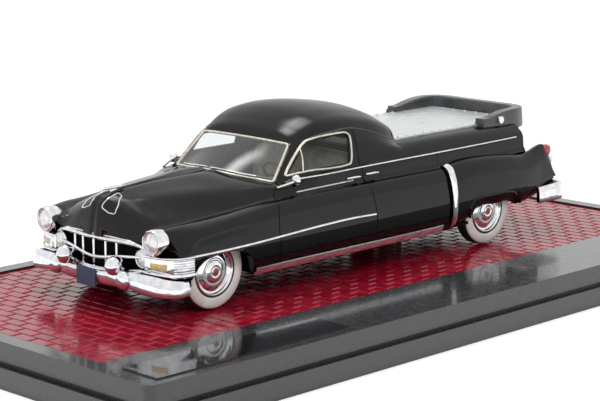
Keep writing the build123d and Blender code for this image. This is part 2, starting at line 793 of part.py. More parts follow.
# Lamps at the front. The fog lamps stand in front of the grille's ends, on arms from its backing
fog_half = 13.5 * widen
fog_z = 13.1
fog_radius = 2.07
fog_depth = 1.2
fog_arm = 0.8
fog_arm_z = 12.6
fog_arm_length = 1.8
fog_back_x = grille_front_x - grille_sag * (fog_half - fog_radius) ** 2 / grille_reach ** 2
lamp_half = 18.34 * widen
lamp_z = 17.19
lamp_ring_radius = 2.9
lamp_lens_radius = 2.4
lamp_ring_depth = 1.2
lamp_lens_depth = 0.9
hull_front_x = hull_rows[0][0]
with BuildPart() as fog_lamps:
    with BuildSketch(station(fog_back_x)):
        with Locations((fog_half, fog_z), (-fog_half, fog_z)):
            Circle(fog_radius)
    extrude(amount=fog_depth)
    with BuildSketch(station(fog_back_x)):
        with Locations((fog_half, fog_arm_z), (-fog_half, fog_arm_z)):
            Rectangle(fog_arm, fog_arm)
    extrude(amount=-fog_arm_length)
    add(grille_backing.part, mode=Mode.SUBTRACT)
save(fog_lamps, "fog_lamps")

with BuildPart() as headlamp_rims:
    with BuildSketch(station(hull_front_x)):
        with Locations((lamp_half, lamp_z), (-lamp_half, lamp_z)):
            Circle(lamp_ring_radius)
            Circle(lamp_lens_radius, mode=Mode.SUBTRACT)
    extrude(amount=lamp_ring_depth)
    add(shell, mode=Mode.SUBTRACT)
save(headlamp_rims, "headlamp_rims")

with BuildPart() as headlamp_lenses:
    with BuildSketch(station(hull_front_x)):
        with Locations((lamp_half, lamp_z), (-lamp_half, lamp_z)):
            Circle(lamp_lens_radius)
    extrude(amount=lamp_lens_depth)
    add(shell, mode=Mode.SUBTRACT)
save(headlamp_lenses, "headlamp_lenses")

parking_half = 19.9 * widen
parking_width = 4.8
parking_z = 12.8
parking_height = 2.1
parking_depth = 0.6
with BuildPart() as parking_lamps:
    with BuildSketch(station(hull_front_x)):
        with Locations((parking_half, parking_z), (-parking_half, parking_z)):
            Rectangle(parking_width, parking_height)
    extrude(amount=parking_depth)
save(parking_lamps, "parking_lamps")

lamp_bar = 0.4
with BuildPart() as lamp_bars:
    with BuildSketch(station(hull_front_x)):
        for rise in (1, -1):
            bar_z = parking_z + rise * (parking_height + lamp_bar) / 2
            with Locations((parking_half, bar_z), (-parking_half, bar_z)):
                Rectangle(parking_width, lamp_bar)
    extrude(amount=parking_depth + 0.2)
save(lamp_bars, "lamp_bars")

plate_width = 6.2
plate_height = 3.9
plate_thickness_small = 0.4
plate_z = 7.7
with BuildPart() as number_plate_front:
    with BuildSketch(station(bumper_front_x)):
        with Locations((0, plate_z)):
            Rectangle(plate_width, plate_height)
    extrude(amount=plate_thickness_small)
save(number_plate_front, "number_plate_front")

with BuildPart() as bonnet_ornament:
    with BuildSketch(mid_plane):
        with BuildLine():
            Polyline((14.9, 25.9), (14.6, 26.3), (8.9, 25.7), (9.2, 25.3), (11.0, 25.4), (11.2, 23.5),
                     (13.0, 23.0), (12.6, 25.6), close=True)
        make_face()
    extrude(amount=0.5, both=True)
    with BuildSketch(mid_plane):
        with BuildLine():
            Polyline((12.4, 25.6), (12.3, 26.0), (9.0, 25.7), (9.2, 25.3), close=True)
        make_face()
    extrude(amount=1.4, both=True)
    add(shell, mode=Mode.SUBTRACT)
save(bonnet_ornament, "bonnet_ornament")

# Wipers on the windscreen, mirrors and door handles
wiper_width = 0.35
with BuildPart() as wipers:
    with BuildSketch(screen_plane):
        for way in (1, -1):
            with BuildLine():
                Polyline((way * 2.5, 0.7), (way * 10.5, 2.0), (way * 10.5, 2.0 + wiper_width),
                         (way * 2.5, 0.7 + wiper_width), close=True)
            make_face()
    extrude(amount=0.3)
save(wipers, "wipers")

mirror_radius = 1.2
mirror_foot_half = 19.6 * widen
mirror_head_half = 22.4 * widen
with BuildPart() as mirrors:
    for way in (1, -1):
        foot = Vector(front_axle_x - 20.0, car_offset_y + way * mirror_foot_half, paving_top + 24.2)
        head = Vector(front_axle_x - 22.3, car_offset_y + way * mirror_head_half, paving_top + 26.1)
        with BuildSketch(Plane(origin=foot, z_dir=head - foot)):
            Circle(0.3)
        extrude(amount=(head - foot).length)
        with BuildSketch(Plane(origin=head + Vector(0.4, 0, 0.6), x_dir=(0, 1, 0), z_dir=(-1, 0, 0))):
            Circle(mirror_radius)
        extrude(amount=0.8)
    add(shell, mode=Mode.SUBTRACT)
save(mirrors, "mirrors")

handle_rise = 0.8
handle_runs = [(-38.3, -42.6, 24.1), (-46.2, -50.2, 24.4)]
with BuildPart() as door_handles:
    for front_x, rear_x, z in handle_runs:
        add(side_band([(front_x, z), (front_x, z + 0.5), (rear_x, z + 0.5), (rear_x, z)], trim_band))
    add(upper_form(handle_rise), mode=Mode.INTERSECT)
    add(upper, mode=Mode.SUBTRACT)
save(door_handles, "door_handles")

# Flower deck
rail_half = 16.5 * widen
rail_width = 2.8
rail_tip_x = -98.5
rail_rear_x = -114.0
rail_lean = 2.5
rail_corner = 4.0
rail_top_z = 32.6
rail_tip_top_z = 31.3
rail_foot_z = deck_height
with BuildPart() as deck_rail:
    for z, rear_x in ((rail_foot_z, rail_rear_x), (rail_top_z, rail_rear_x + rail_lean)):
        with BuildSketch(level(z)) as rail_plan:
            with Locations(((rail_tip_x + rear_x) / 2, 0)):
                Rectangle(rail_tip_x - rear_x, 2 * rail_half)
            fillet(rail_plan.vertices().group_by(Axis.X)[0], radius=rail_corner)
            with Locations(((rail_tip_x + rear_x) / 2 + rail_width, 0)):
                Rectangle(rail_tip_x - rear_x, 2 * (rail_half - rail_width), mode=Mode.SUBTRACT)
    loft()
    with BuildSketch(mid_plane):
        with BuildLine():
            Polyline((rail_tip_x + 1.0, rail_tip_top_z), (rail_rear_x + 4.0, rail_top_z),
                     (rail_rear_x + 4.0, rail_top_z + 1.0), (rail_tip_x + 1.0, rail_top_z + 1.0), close=True)
        make_face()
    extrude(amount=body_half, both=True, mode=Mode.SUBTRACT)
save(deck_rail, "deck_rail")

panel_half = 14.4 * widen
panel_front_x = -62.0
panel_rear_x = -110.7
panel_thickness = 0.6
with BuildPart() as deck_panel:
    with BuildSketch(level(deck_height)):
        with Locations(((panel_front_x + panel_rear_x) / 2, 0)):
            Rectangle(panel_front_x - panel_rear_x, 2 * panel_half)
    extrude(amount=panel_thickness)
    add(shell, mode=Mode.SUBTRACT)
    add(deck_rail.part, mode=Mode.SUBTRACT)
save(deck_panel, "deck_panel")

stud_radius = 0.38
stud_height = 0.3
stud_first_x = -66.5
stud_count = 10
stud_pitch = 3.1
stud_edge = 0.9
rear_stud_x = -109.6
rear_stud_count = 6
rear_stud_pitch = 3.8
with BuildPart() as deck_studs:
    with BuildSketch(level(deck_height + panel_thickness)):
        with Locations((stud_first_x - (stud_count - 1) * stud_pitch / 2, 0)):
            with GridLocations(stud_pitch, 2 * (panel_half - stud_edge), stud_count, 2):
                Circle(stud_radius)
        with Locations((rear_stud_x, 0)):
            with GridLocations(1.0, rear_stud_pitch, 1, rear_stud_count):
                Circle(stud_radius)
    extrude(amount=stud_height)
save(deck_studs, "deck_studs")

bracket_length = 3.2
bracket_width = 2.6
bracket_height = 2.0
bracket_y = 14.8 * widen
with BuildPart() as rail_brackets:
    with BuildSketch(level(rail_foot_z)):
        with Locations(*[(rail_tip_x + bracket_length / 2, way * bracket_y) for way in (1, -1)]):
            Rectangle(bracket_length, bracket_width)
    extrude(amount=bracket_height)
    add(shell, mode=Mode.SUBTRACT)
    add(deck_panel.part, mode=Mode.SUBTRACT)
    add(deck_studs.part, mode=Mode.SUBTRACT)
save(rail_brackets, "rail_brackets")

rail_lamp_radius = 0.9
with BuildPart() as rail_lamps:
    with BuildSketch(side(rail_half + 0.7), side(-rail_half)):
        with Locations((rail_tip_x - 2.6, rail_foot_z + 1.3)):
            Circle(rail_lamp_radius)
    extrude(amount=0.7)
save(rail_lamps, "rail_lamps")

# Tail
tail_lamp_inner = 19.2 * widen
tail_lamp_width = 2.3
tail_lamp_outline = [(-113.8, 21.6), (-114.2, 22.9), (-115.6, 22.6), (-117.2, 20.9), (-117.9, 19.6),
                     (-117.0, 18.9)]
reversing_outline = [(-117.0, 18.9), (-117.9, 19.6), (-118.4, 17.9), (-117.6, 17.6)]
for outline, name in ((tail_lamp_outline, "tail_lamps"), (reversing_outline, "reversing_lamps")):
    with BuildPart() as lamps:
        with BuildSketch(side(tail_lamp_inner + tail_lamp_width), side(-tail_lamp_inner)):
            with BuildLine():
                Polyline(*outline, close=True)
            make_face()
        extrude(amount=tail_lamp_width)
        add(shell, mode=Mode.SUBTRACT)
    save(lamps, name)

rear_bumper_side = body_half - 0.6
rear_bumper_x = -120.0
rear_bumper_z = 7.9
rear_bumper_height = 2.9
rear_bumper_start = -111.0
with BuildPart() as rear_bumper:
    with BuildSketch(level(rear_bumper_z)) as rear_plan:
        with Locations(((rear_bumper_start + rear_bumper_x) / 2, 0)):
            Rectangle(rear_bumper_start - rear_bumper_x, 2 * rear_bumper_side)
        fillet(rear_plan.vertices().group_by(Axis.X)[0], radius=3.0)
        with Locations(((rear_bumper_start + rear_bumper_x) / 2 + bumper_thickness, 0)):
            Rectangle(rear_bumper_start - rear_bumper_x, 2 * (rear_bumper_side - bumper_thickness),
                      mode=Mode.SUBTRACT)
    extrude(amount=rear_bumper_height)
    with BuildSketch(side(rear_bumper_side), side(-rear_bumper_side + 5.0)):
        with BuildLine():
            Polyline((-119.4, 9.0), (-120.0, 13.8), (-118.9, 14.0), (-118.0, 9.0), close=True)
        make_face()
    extrude(amount=5.0)
    add(shell, mode=Mode.SUBTRACT)
save(rear_bumper, "rear_bumper")

with BuildPart() as number_plate_rear:
    with BuildSketch(station(rear_bumper_x)):
        with Locations((0, rear_bumper_z + rear_bumper_height / 2)):
            Rectangle(plate_width, plate_height)
    extrude(amount=-plate_thickness_small)
save(number_plate_rear, "number_plate_rear")

# Axles, wheels and tyres
wheel_inner = track_outer - tyre_width + 0.6
wheel_face = track_outer - 0.7
for axle, axle_x in (("front", 0.0), ("rear", rear_axle)):
    axis = Axis((front_axle_x + axle_x, car_offset_y, paving_top + axle_height), (0, 1, 0))
    with BuildPart() as axle_rod:
        with BuildSketch(mid_plane):
            with Locations((axle_x, axle_height)):
                Circle(axle_diameter / 2)
        extrude(amount=wheel_inner, both=True)
    save(axle_rod, axle + "_axle")
    with BuildPart() as wheels:
        for way in (1, -1):
            with BuildSketch(Plane(origin=(front_axle_x + axle_x, car_offset_y, paving_top + axle_height),
                                   x_dir=(0, way, 0), z_dir=(way, 0, 0))):
                with BuildLine():
                    Polyline((wheel_inner, 0), (wheel_inner, wheel_diameter / 2),
                             (wheel_face, wheel_diameter / 2), (wheel_face, wheel_diameter / 2 - 0.5),
                             (wheel_face - wheel_dish, cap_diameter / 2 + 0.4),
                             (wheel_face - wheel_dish + cap_rise, cap_diameter / 2 - 0.4),
                             (wheel_face - wheel_dish + cap_rise, 0), close=True)
                make_face()
            revolve(axis=axis)
    save(wheels, axle + "_wheels")
    with BuildPart() as tyres:
        for way in (1, -1):
            with BuildSketch(Plane(origin=(front_axle_x + axle_x, car_offset_y, paving_top + axle_height),
                                   x_dir=(0, way, 0), z_dir=(way, 0, 0))) as tyre_section:
                with Locations((track_outer - tyre_width / 2, (tyre_diameter + wheel_diameter) / 4)):
                    Rectangle(tyre_width, (tyre_diameter - wheel_diameter) / 2)
                fillet(tyre_section.vertices().group_by(Axis.Z)[-1], radius=tyre_shoulder)
            revolve(axis=axis)
    save(tyres, axle + "_tyres")
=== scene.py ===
import bmesh
import bpy
import numpy as np
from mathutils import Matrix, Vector


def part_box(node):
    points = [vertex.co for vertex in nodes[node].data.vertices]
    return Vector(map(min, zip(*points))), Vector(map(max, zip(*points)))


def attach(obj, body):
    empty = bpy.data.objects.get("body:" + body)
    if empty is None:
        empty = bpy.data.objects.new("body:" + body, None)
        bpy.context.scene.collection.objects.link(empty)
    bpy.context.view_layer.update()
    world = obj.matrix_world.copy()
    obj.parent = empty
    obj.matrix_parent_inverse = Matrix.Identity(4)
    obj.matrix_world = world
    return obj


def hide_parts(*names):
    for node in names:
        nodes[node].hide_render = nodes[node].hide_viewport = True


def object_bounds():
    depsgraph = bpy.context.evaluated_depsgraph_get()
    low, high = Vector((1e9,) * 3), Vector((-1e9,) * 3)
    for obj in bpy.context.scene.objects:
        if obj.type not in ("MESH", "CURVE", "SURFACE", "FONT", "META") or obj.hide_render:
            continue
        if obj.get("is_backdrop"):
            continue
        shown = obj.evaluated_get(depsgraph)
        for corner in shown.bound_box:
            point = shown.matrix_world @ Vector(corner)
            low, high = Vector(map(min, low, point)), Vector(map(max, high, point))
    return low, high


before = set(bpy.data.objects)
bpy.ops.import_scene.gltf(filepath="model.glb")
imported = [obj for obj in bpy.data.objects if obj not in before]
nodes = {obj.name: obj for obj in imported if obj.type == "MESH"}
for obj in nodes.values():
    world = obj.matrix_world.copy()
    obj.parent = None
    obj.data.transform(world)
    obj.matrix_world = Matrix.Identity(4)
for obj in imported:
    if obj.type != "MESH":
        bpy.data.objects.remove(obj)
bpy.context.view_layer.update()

CAR = np.array([51.5, -4.5, 9.1])  # where the car's datums meet, in the row frame
MODEL = "display_model"
AXLE_Z = 8.72
WHEELBASE = 92.74
AHEAD = (1, 0, 0)
ACROSS = (0, 1, 0)
UP = (0, 0, 1)


# Shapes. Each is its points, its quads and its other polygons
def grid(points, wrap_u=False, wrap_v=False):
    """A sheet of quads over an array of points, rows by columns, closed on itself where it wraps."""
    n, m = points.shape[:2]
    i = np.arange(n if wrap_u else n - 1)[:, None]
    j = np.arange(m if wrap_v else m - 1)[None, :]
    i2, j2 = (i + 1) % n, (j + 1) % m
    quads = np.stack([i * m + j, i2 * m + j, i2 * m + j2, i * m + j2], -1).reshape(-1, 4)
    return points.reshape(-1, 3), quads, []


def join(*shapes):
    """Several shapes as one, with the later ones' numbers moved past the earlier ones' points."""
    starts = np.cumsum([0] + [len(s[0]) for s in shapes])
    return (np.concatenate([s[0] for s in shapes]),
            np.concatenate([s[1] + k for s, k in zip(shapes, starts)]),
            [p + k for s, k in zip(shapes, starts) for p in s[2]])


def flipped(shape):
    """A shape turned inside out: the corners of each face in the opposite order."""
    return shape[0], shape[1][:, ::-1], [p[::-1] for p in shape[2]]


def outward(shape, inside):
    """Faces turned away from a point inside: the sum of face normals times their distance from it is
    positive."""
    p = shape[0] - np.asarray(inside, float)
    fans = [shape[1][:, [0, 1, 2]], shape[1][:, [0, 2, 3]]]
    fans += [np.column_stack([np.full(len(q) - 2, q[0]), q[1:-1], q[2:]]) for q in shape[2]]
    t = np.concatenate(fans)
    volume = np.einsum("ij,ij->i", p[t[:, 0]], np.cross(p[t[:, 1]], p[t[:, 2]])).sum()
    return shape if volume >= 0 else flipped(shape)


def skin(points, inside):
    """A sheet over points, facing away from a point inside."""
    return outward(grid(points), inside)


def tube(rings, closed=False):
    """Rings of points joined one to the next, with a polygon across each end unless they close on
    themselves."""
    points, quads, ends = grid(rings, closed, True)
    if not closed:
        first = np.arange(rings.shape[1])
        ends = [first, first[::-1] + len(points) - len(first)]
    return outward((points, quads, ends), rings.mean((0, 1)))


def both_sides(shape):
    """A shape and its mirror image in the car's centre plane."""
    other = flipped(shape)
    return join(shape, (other[0] * [1, -1, 1], other[1], other[2]))


def pair(shape_at, y):
    """The shapes that a function gives at y and at -y."""
    return join(shape_at(y), shape_at(-y))


def mirrored(line, column=1):
    """A line that ends at the centre, carried on by its mirror image, with the sign of one column changed."""
    line = np.asarray(line, float)
    other = line.copy()
    other[:, column] *= -1
    return np.concatenate([line, other[-2::-1]])


def prism(outline, y0, y1):
    """A side view outline, x and z, carried across from y0 to y1."""
    o = np.asarray(outline, float)
    return tube(np.stack([np.column_stack([o[:, 0], np.full(len(o), y), o[:, 1]]) for y in (y0, y1)]))


def block(x0, x1, y0, y1, z0, z1):
    """A box between two corners."""
    return prism([(x0, z0), (x1, z0), (x1, z1), (x0, z1)], y0, y1)


def unit(v):
    """Vectors divided by their length."""
    return v / np.maximum(np.linalg.norm(v, axis=-1, keepdims=True), 1e-9)


def sweep(path, profile, up, closed=False):
    """A profile carried along a path. Its first coordinate goes sideways, across the path and up; its
    second up."""
    path, profile = np.asarray(path, float), np.asarray(profile, float)
    ahead = unit(np.roll(path, -1, 0) - np.roll(path, 1, 0) if closed else np.gradient(path, axis=0))
    side = unit(np.cross(ahead, np.broadcast_to(up, path.shape)))
    rise = np.cross(side, ahead)
    return tube(path[:, None] + side[:, None] * profile[None, :, :1] + rise[:, None] * profile[None, :, 1:],
                closed)


def ring_of(count, radius=1.0, squash=1.0, power=1.0):
    """Points round an ellipse; a power under 1 squares it off."""
    a = np.linspace(0, 2 * np.pi, count, endpoint=False)
    c, s = np.cos(a), np.sin(a)
    return np.column_stack([np.sign(c) * np.abs(c) ** power * radius,
                            np.sign(s) * np.abs(s) ** power * radius * squash])


def wire(path, radius, up, count=8):
    """A round wire along a path."""
    return sweep(path, ring_of(count, radius), up)


def half_round(half, rise, count, back):
    """Half an ellipse, half as wide and as high as given, on a flat back that lies below it."""
    a = np.linspace(0, np.pi, count)
    return np.concatenate([np.column_stack([np.cos(a) * half, np.sin(a) * rise]),
                           [[-half, back], [half, back]]])


def lathe(profile, centre, axis, count):
    """A profile, distance along the axis and radius, turned round the axis through a centre."""
    axis, profile = unit(np.asarray(axis, float)), np.asarray(profile, float)
    first = unit(np.cross(axis, [0.3, 0.1, 0.9]))
    second = np.cross(axis, first)
    a = np.linspace(0, 2 * np.pi, count, endpoint=False)[:, None]
    around = np.cos(a) * first + np.sin(a) * second
    points = centre + profile[:, None, :1] * axis + profile[:, None, 1:] * around[None]
    return outward(grid(points, wrap_v=True), np.asarray(centre) + axis * profile[:, 0].mean())


def ball(centre, size, power=0.8, rows=19, columns=36):
    """A closed sphere's points stretched to a size along the three axes, and squarer with a lower power."""
    u = np.linspace(-np.pi / 2, np.pi / 2, rows)[:, None]
    v = np.linspace(0, 2 * np.pi, columns, endpoint=False)[None, :]
    round_ = np.stack([np.cos(u) * np.cos(v), np.cos(u) * np.sin(v), np.sin(u) + 0 * v], -1)
    points = np.asarray(centre) + np.sign(round_) * np.abs(round_) ** power * np.asarray(size)
    return outward(grid(points, wrap_v=True), centre)


def rounded(points, radius, steps):
    """A closed outline with each corner replaced by a curve that starts and ends that far from it."""
    p = np.asarray(points, float)
    to_last, to_next = np.roll(p, 1, 0) - p, np.roll(p, -1, 0) - p
    shorter = np.minimum(np.linalg.norm(to_last, axis=1), np.linalg.norm(to_next, axis=1))
    reach = np.minimum(radius, 0.45 * shorter)[:, None]
    t = np.linspace(0, 1, steps + 1)[None, :, None]
    a, c = (p + unit(to_last) * reach)[:, None], (p + unit(to_next) * reach)[:, None]
    curve = (1 - t) ** 2 * a + 2 * t * (1 - t) * p[:, None] + t ** 2 * c
    return curve.reshape(-1, p.shape[1])


def glide(knots, values, at):
    """Between rows: a cubic whose slope at a row is the mean of the slopes on its two sides, weighted by the
    other's gap."""
    knots, values, at = np.asarray(knots, float), np.asarray(values, float), np.asarray(at, float)
    wide = (-1,) + (1,) * (values.ndim - 1)
    gap = np.diff(knots)
    slope = np.diff(values, axis=0) / gap.reshape(wide)
    g0, g1 = gap[:-1].reshape(wide), gap[1:].reshape(wide)
    slopes = np.concatenate([slope[:1], (slope[:-1] * g1 + slope[1:] * g0) / (g0 + g1), slope[-1:]])
    cell = np.clip(np.searchsorted(knots, at, side="right") - 1, 0, len(gap) - 1)
    h = gap[cell].reshape(wide)
    s = ((at - knots[cell]) / gap[cell]).reshape(wide)
    return ((2 * s ** 3 - 3 * s ** 2 + 1) * values[cell] + (s ** 3 - 2 * s ** 2 + s) * h * slopes[cell]
            + (3 * s ** 2 - 2 * s ** 3) * values[cell + 1] + (s ** 3 - s ** 2) * h * slopes[cell + 1])


def knots_of(net):
    """How far each column of a net lies from the first: the mean gaps between columns, added up."""
    return np.concatenate([[0], np.cumsum(np.linalg.norm(np.diff(net, axis=1), axis=2).mean(0))])


def across(rows, knots, first, last, steps):
    """A sheet through columns first to last of each row, smooth through the columns on both sides of them."""
    at = np.concatenate([np.linspace(knots[k], knots[k + 1], steps, endpoint=False) for k in range(first,
                                                                                                   last)]
                        + [[knots[last]]])
    return glide(knots, rows.swapaxes(0, 1), at).swapaxes(0, 1)


def along(points, step=0.3):
    """Points spaced evenly along a smooth curve through the given ones."""
    p = np.asarray(points, float)
    if len(p) == 2:
        n = max(2, int(np.linalg.norm(p[1] - p[0]) / step) + 1)
        return p[0] + (p[1] - p[0]) * np.linspace(0, 1, n)[:, None]
    t = np.concatenate([[0], np.cumsum(np.linalg.norm(np.diff(p, axis=0), axis=1))])
    return glide(t, p, np.linspace(0, t[-1], max(4, int(t[-1] / step) + 1)))


def nearest(surface, at, columns, count, ease):
    """The mean of the surface's points nearest to each given one, weighted by nearness in the named
    columns."""
    s = surface.reshape(-1, 3)
    far = ((s[None, :, columns] - at[:, None, columns]) ** 2).sum(-1)
    near = np.argpartition(far, count, axis=1)[:, :count]
    weight = 1 / (np.take_along_axis(far, near, 1) + ease)
    return (s[near] * weight[..., None]).sum(1) / weight.sum(1)[:, None]


def on_side(surface, line, step=0.3):
    """A side view line, x and z, laid on the left side of a surface: y is the six nearest points' mean."""
    x, z = along(line, step).T
    y = nearest(surface, np.column_stack([x, 0 * x, z]), [0, 2], 6, 1e-4)[:, 1]
    return np.column_stack([x, y, z])


def on_skin(surface, points, step, lift=0.0, corner=None):
    """A path in space moved to a surface, to the eight nearest points' mean, then evened out with its
    neighbours and raised sideways. With a corner size it is a loop with rounded corners."""
    if corner:
        points = rounded(points, corner, 4)
        points = np.concatenate([points, points[:1]])
    placed = nearest(surface, along(points, step), [0, 1, 2], 8, 3e-2)
    for _ in range(3):
        placed[1:-1] = (placed[:-2] + 2 * placed[1:-1] + placed[2:]) / 4
    return (placed + [0, lift, 0])[:-1 if corner else None]


# Colour and materials
def linear(code):
    """An sRGB hex colour as linear red, green, blue and alpha."""
    c = np.array([int(code[i:i + 2], 16) for i in (0, 2, 4)]) / 255
    return (*np.where(c <= 0.04045, c / 12.92, ((c + 0.055) / 1.055) ** 2.4), 1.0)


def node(tree, kind, inputs=None, **settings):
    """Adds a shader node, sets its properties and fills its inputs, with values, with sockets, or with
    nodes, which stand for their first output."""
    made = tree.nodes.new("ShaderNode" + kind)
    for key, value in settings.items():
        setattr(made, key, value)
    for key, value in (inputs or {}).items():
        if isinstance(value, bpy.types.Node):
            value = value.outputs[0]
        if isinstance(value, bpy.types.NodeSocket):
            tree.links.new(value, made.inputs[key])
        else:
            made.inputs[key].default_value = value
    return made


def new_material(name):
    """An empty material and its node tree."""
    made = bpy.data.materials.new(name)
    made.use_nodes = True
    made.node_tree.nodes.clear()
    return made, made.node_tree


def finish_of(name, dark, light, rough, metal=0.0, coat=0.0, scale=0.6, stretch=(1, 1, 1), bump=0.0,
              bump_scale=8.0, coat_rough=0.03, specular=0.5):
    """A finish whose colour runs between two tones, and its roughness between two values, with a soft
    noise. The scales are in waves a millimetre, and the bump is a twentieth of a millimetre deep at a
    strength of 1."""
    made, tree = new_material(name)
    place = node(tree, "VectorMath", {0: node(tree, "TexCoord").outputs["Object"],
                                      1: [1000 * s for s in stretch]}, operation="MULTIPLY")
    tone = node(tree, "TexNoise", {"Vector": place, "Scale": scale, "Detail": 4.0})
    share, gloss = [node(tree, "MapRange", {"Value": tone, "From Min": 0.3, "From Max": 0.7, "To Min": start,
                                            "To Max": end}) for start, end in ((0.0, 1.0), rough)]
    colour = node(tree, "Mix", {0: share, 6: linear(dark), 7: linear(light)}, data_type="RGBA").outputs[2]
    sockets = {"Base Color": colour, "Metallic": metal, "Roughness": gloss, "Coat Weight": coat,
               "Coat Roughness": coat_rough, "Specular IOR Level": specular}
    if bump:
        fine = node(tree, "TexNoise", {"Vector": place, "Scale": bump_scale, "Detail": 2.0})
        sockets["Normal"] = node(tree, "Bump", {"Height": fine, "Strength": bump, "Distance": 0.00005})
    node(tree, "OutputMaterial", {"Surface": node(tree, "BsdfPrincipled", sockets)})
    return made


def glass_of(name, tint, shine, least=0.03):
    """Thin clear pane: it lets light straight through, tinted, and mirrors more towards grazing angles."""
    made, tree = new_material(name)
    clear = node(tree, "BsdfTransparent", {"Color": linear(tint)})
    mirror = node(tree, "BsdfGlossy", {"Roughness": 0.02})
    facing = node(tree, "LayerWeight", {"Blend": 0.5}).outputs["Facing"]
    steep = node(tree, "Math", {0: facing, 1: 5.0}, operation="POWER")
    amount = node(tree, "Math", {0: steep, 1: shine, 2: least}, operation="MULTIPLY_ADD")
    pane_shader = node(tree, "MixShader", {0: amount, 1: clear, 2: mirror})
    node(tree, "OutputMaterial", {"Surface": pane_shader})
    return made


# Deep black lacquer: nearly no colour of its own, and a clear coat that shows the studio sharply
paint = finish_of("black_lacquer", "060607", "0b0b0c", (0.3, 0.36), coat=0.62, bump=0.02, bump_scale=3.0,
                  specular=0.0)
# Polished chrome: a bright mirror, a little uneven as plated resin is
chrome = finish_of("polished_chrome", "d2d4d8", "f2f3f5", (0.03, 0.09), metal=1.0, bump=0.03, bump_scale=2.0)
# Pale satin metal of the window frames: cream silver, soft highlights
frame_metal = finish_of("cream_silver", "c9c3b4", "e6e1d4", (0.25, 0.35), metal=0.7, bump=0.03)
# Brushed deck: fine streaks along the car, which spread the highlights across
deck_metal = finish_of("brushed_deck", "b4b8b8", "dfe3e3", (0.26, 0.42), metal=0.55, scale=3.0,
                       stretch=(0.06, 1, 1), bump=0.08, bump_scale=6.0)
# Satin black moulding of the rail: a broad dull shine
satin_black = finish_of("satin_black", "303133", "3f4042", (0.3, 0.4), bump=0.06, bump_scale=6.0, coat=0.3,
                        coat_rough=0.25)
# Unlit black behind the grille and under the car
dull_black = finish_of("dull_black", "040404", "090909", (0.7, 0.85), specular=0.1)
# Black rubber of the tread
rubber = finish_of("tyre_rubber", "121212", "1d1d1d", (0.6, 0.75), bump=0.2)
# White band of the tyre: warm pale grey, matt
whitewall = finish_of("whitewall", "c6c2bf", "dedbd8", (0.5, 0.62), scale=0.3, bump=0.04)
# Seats: moulded plastic in grey beige with a low sheen
upholstery = finish_of("moulded_seat", "8f8981", "b3ada3", (0.4, 0.55), bump=0.1, bump_scale=4.0)
# Cabin trim: the seat's plastic, painted darker as shade inside the cabin, and duller, so the seat stands out
# from it through the glass
shaded_cabin_trim = finish_of("moulded_trim_painted_shade", "65625d", "7d7a74", (0.45, 0.6), bump=0.08)
# Plinth: dark satin plastic with a very fine grain
plinth_plastic = finish_of("plinth_plastic", "1b1d1f", "232628", (0.22, 0.3), bump=0.01, bump_scale=5.0,
                           coat=0.5,
                           coat_rough=0.08)
# Glazed setts: deep crimson with a sharp shine, uneven from sett to sett
sett_red = finish_of("glazed_setts", "780d1f", "96142b", (0.1, 0.18), scale=0.3, bump=0.015, bump_scale=2.0,
                     specular=0.4)
# Joints between the setts: the same red in shade
joint_red = finish_of("sett_joints", "35070f", "4a0c17", (0.5, 0.7))
# Blank label: glossy dark strip
label_gloss = finish_of("label_gloss", "17181a", "202224", (0.08, 0.14), coat=0.6)
# Blank number plates: dull slate blue enamel
plate_blue = finish_of("plate_blue", "27344a", "34435c", (0.35, 0.5))
# Parking lamps: amber plastic under a clear coat
amber = finish_of("amber_lens", "b3924a", "d0b267", (0.15, 0.25), coat=0.8)
# Tail lamps: deep red plastic with a wet shine
red_lens = finish_of("red_lens", "8e0d14", "bb1a22", (0.1, 0.2), coat=1.0)
# Wheel centres: brick red enamel, glossy
red_enamel = finish_of("red_enamel", "8a2a25", "a8372f", (0.2, 0.3), coat=0.6)
# Plain steel of axles and screws: grey, half dull
steel = finish_of("plain_steel", "8b8c8e", "a9abad", (0.3, 0.4), metal=1.0)
# Lamp glass over a silvered bowl: pale and bright, with upright flutes
lens = finish_of("lamp_lens", "c9cbcd", "f1f2f2", (0.1, 0.2), metal=0.4, coat=1.0, scale=2.2,
                 stretch=(1, 1, 0.15),
                 bump=0.3, bump_scale=3.0)
# Side and rear panes: clear, and mirrors only at a slant
pane = glass_of("window_pane", "f2f6f6", 0.5)
# Raked windscreen: it shows the pale studio more than the side panes
screen_pane = glass_of("windscreen_pane", "f9fbfb", 0.7, 0.12)


def make(name, shape, material, stands_for="", body=MODEL, sharp=32, thick=0.0, inner=None):
    """One piece: the shape in metres in the row frame, welded, shaded smooth up to an angle, riding on a
    body. A thickness goes inwards, and its inner face has a material of its own."""
    points, quads, polygons = shape
    mesh = bpy.data.meshes.new(name)
    mesh.from_pydata(((points + CAR) / 1000).tolist(), [], quads.tolist() + [p.tolist() for p in polygons])
    work = bmesh.new()
    work.from_mesh(mesh)
    bmesh.ops.remove_doubles(work, verts=work.verts, dist=2e-6)
    bmesh.ops.dissolve_degenerate(work, edges=work.edges, dist=1e-6)
    work.to_mesh(mesh)
    work.free()
    mesh.materials.append(material)
    mesh.shade_smooth()
    mesh.set_sharp_from_angle(angle=np.radians(sharp))
    made = bpy.data.objects.new(name, mesh)
    bpy.context.scene.collection.objects.link(made)
    if thick:
        mesh.materials.append(inner)
        wall = made.modifiers.new("thickness", "SOLIDIFY")
        wall.thickness, wall.offset, wall.material_offset = thick / 1000, -1, 1
    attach(made, body)
    if stands_for:
        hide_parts(*stands_for.split())


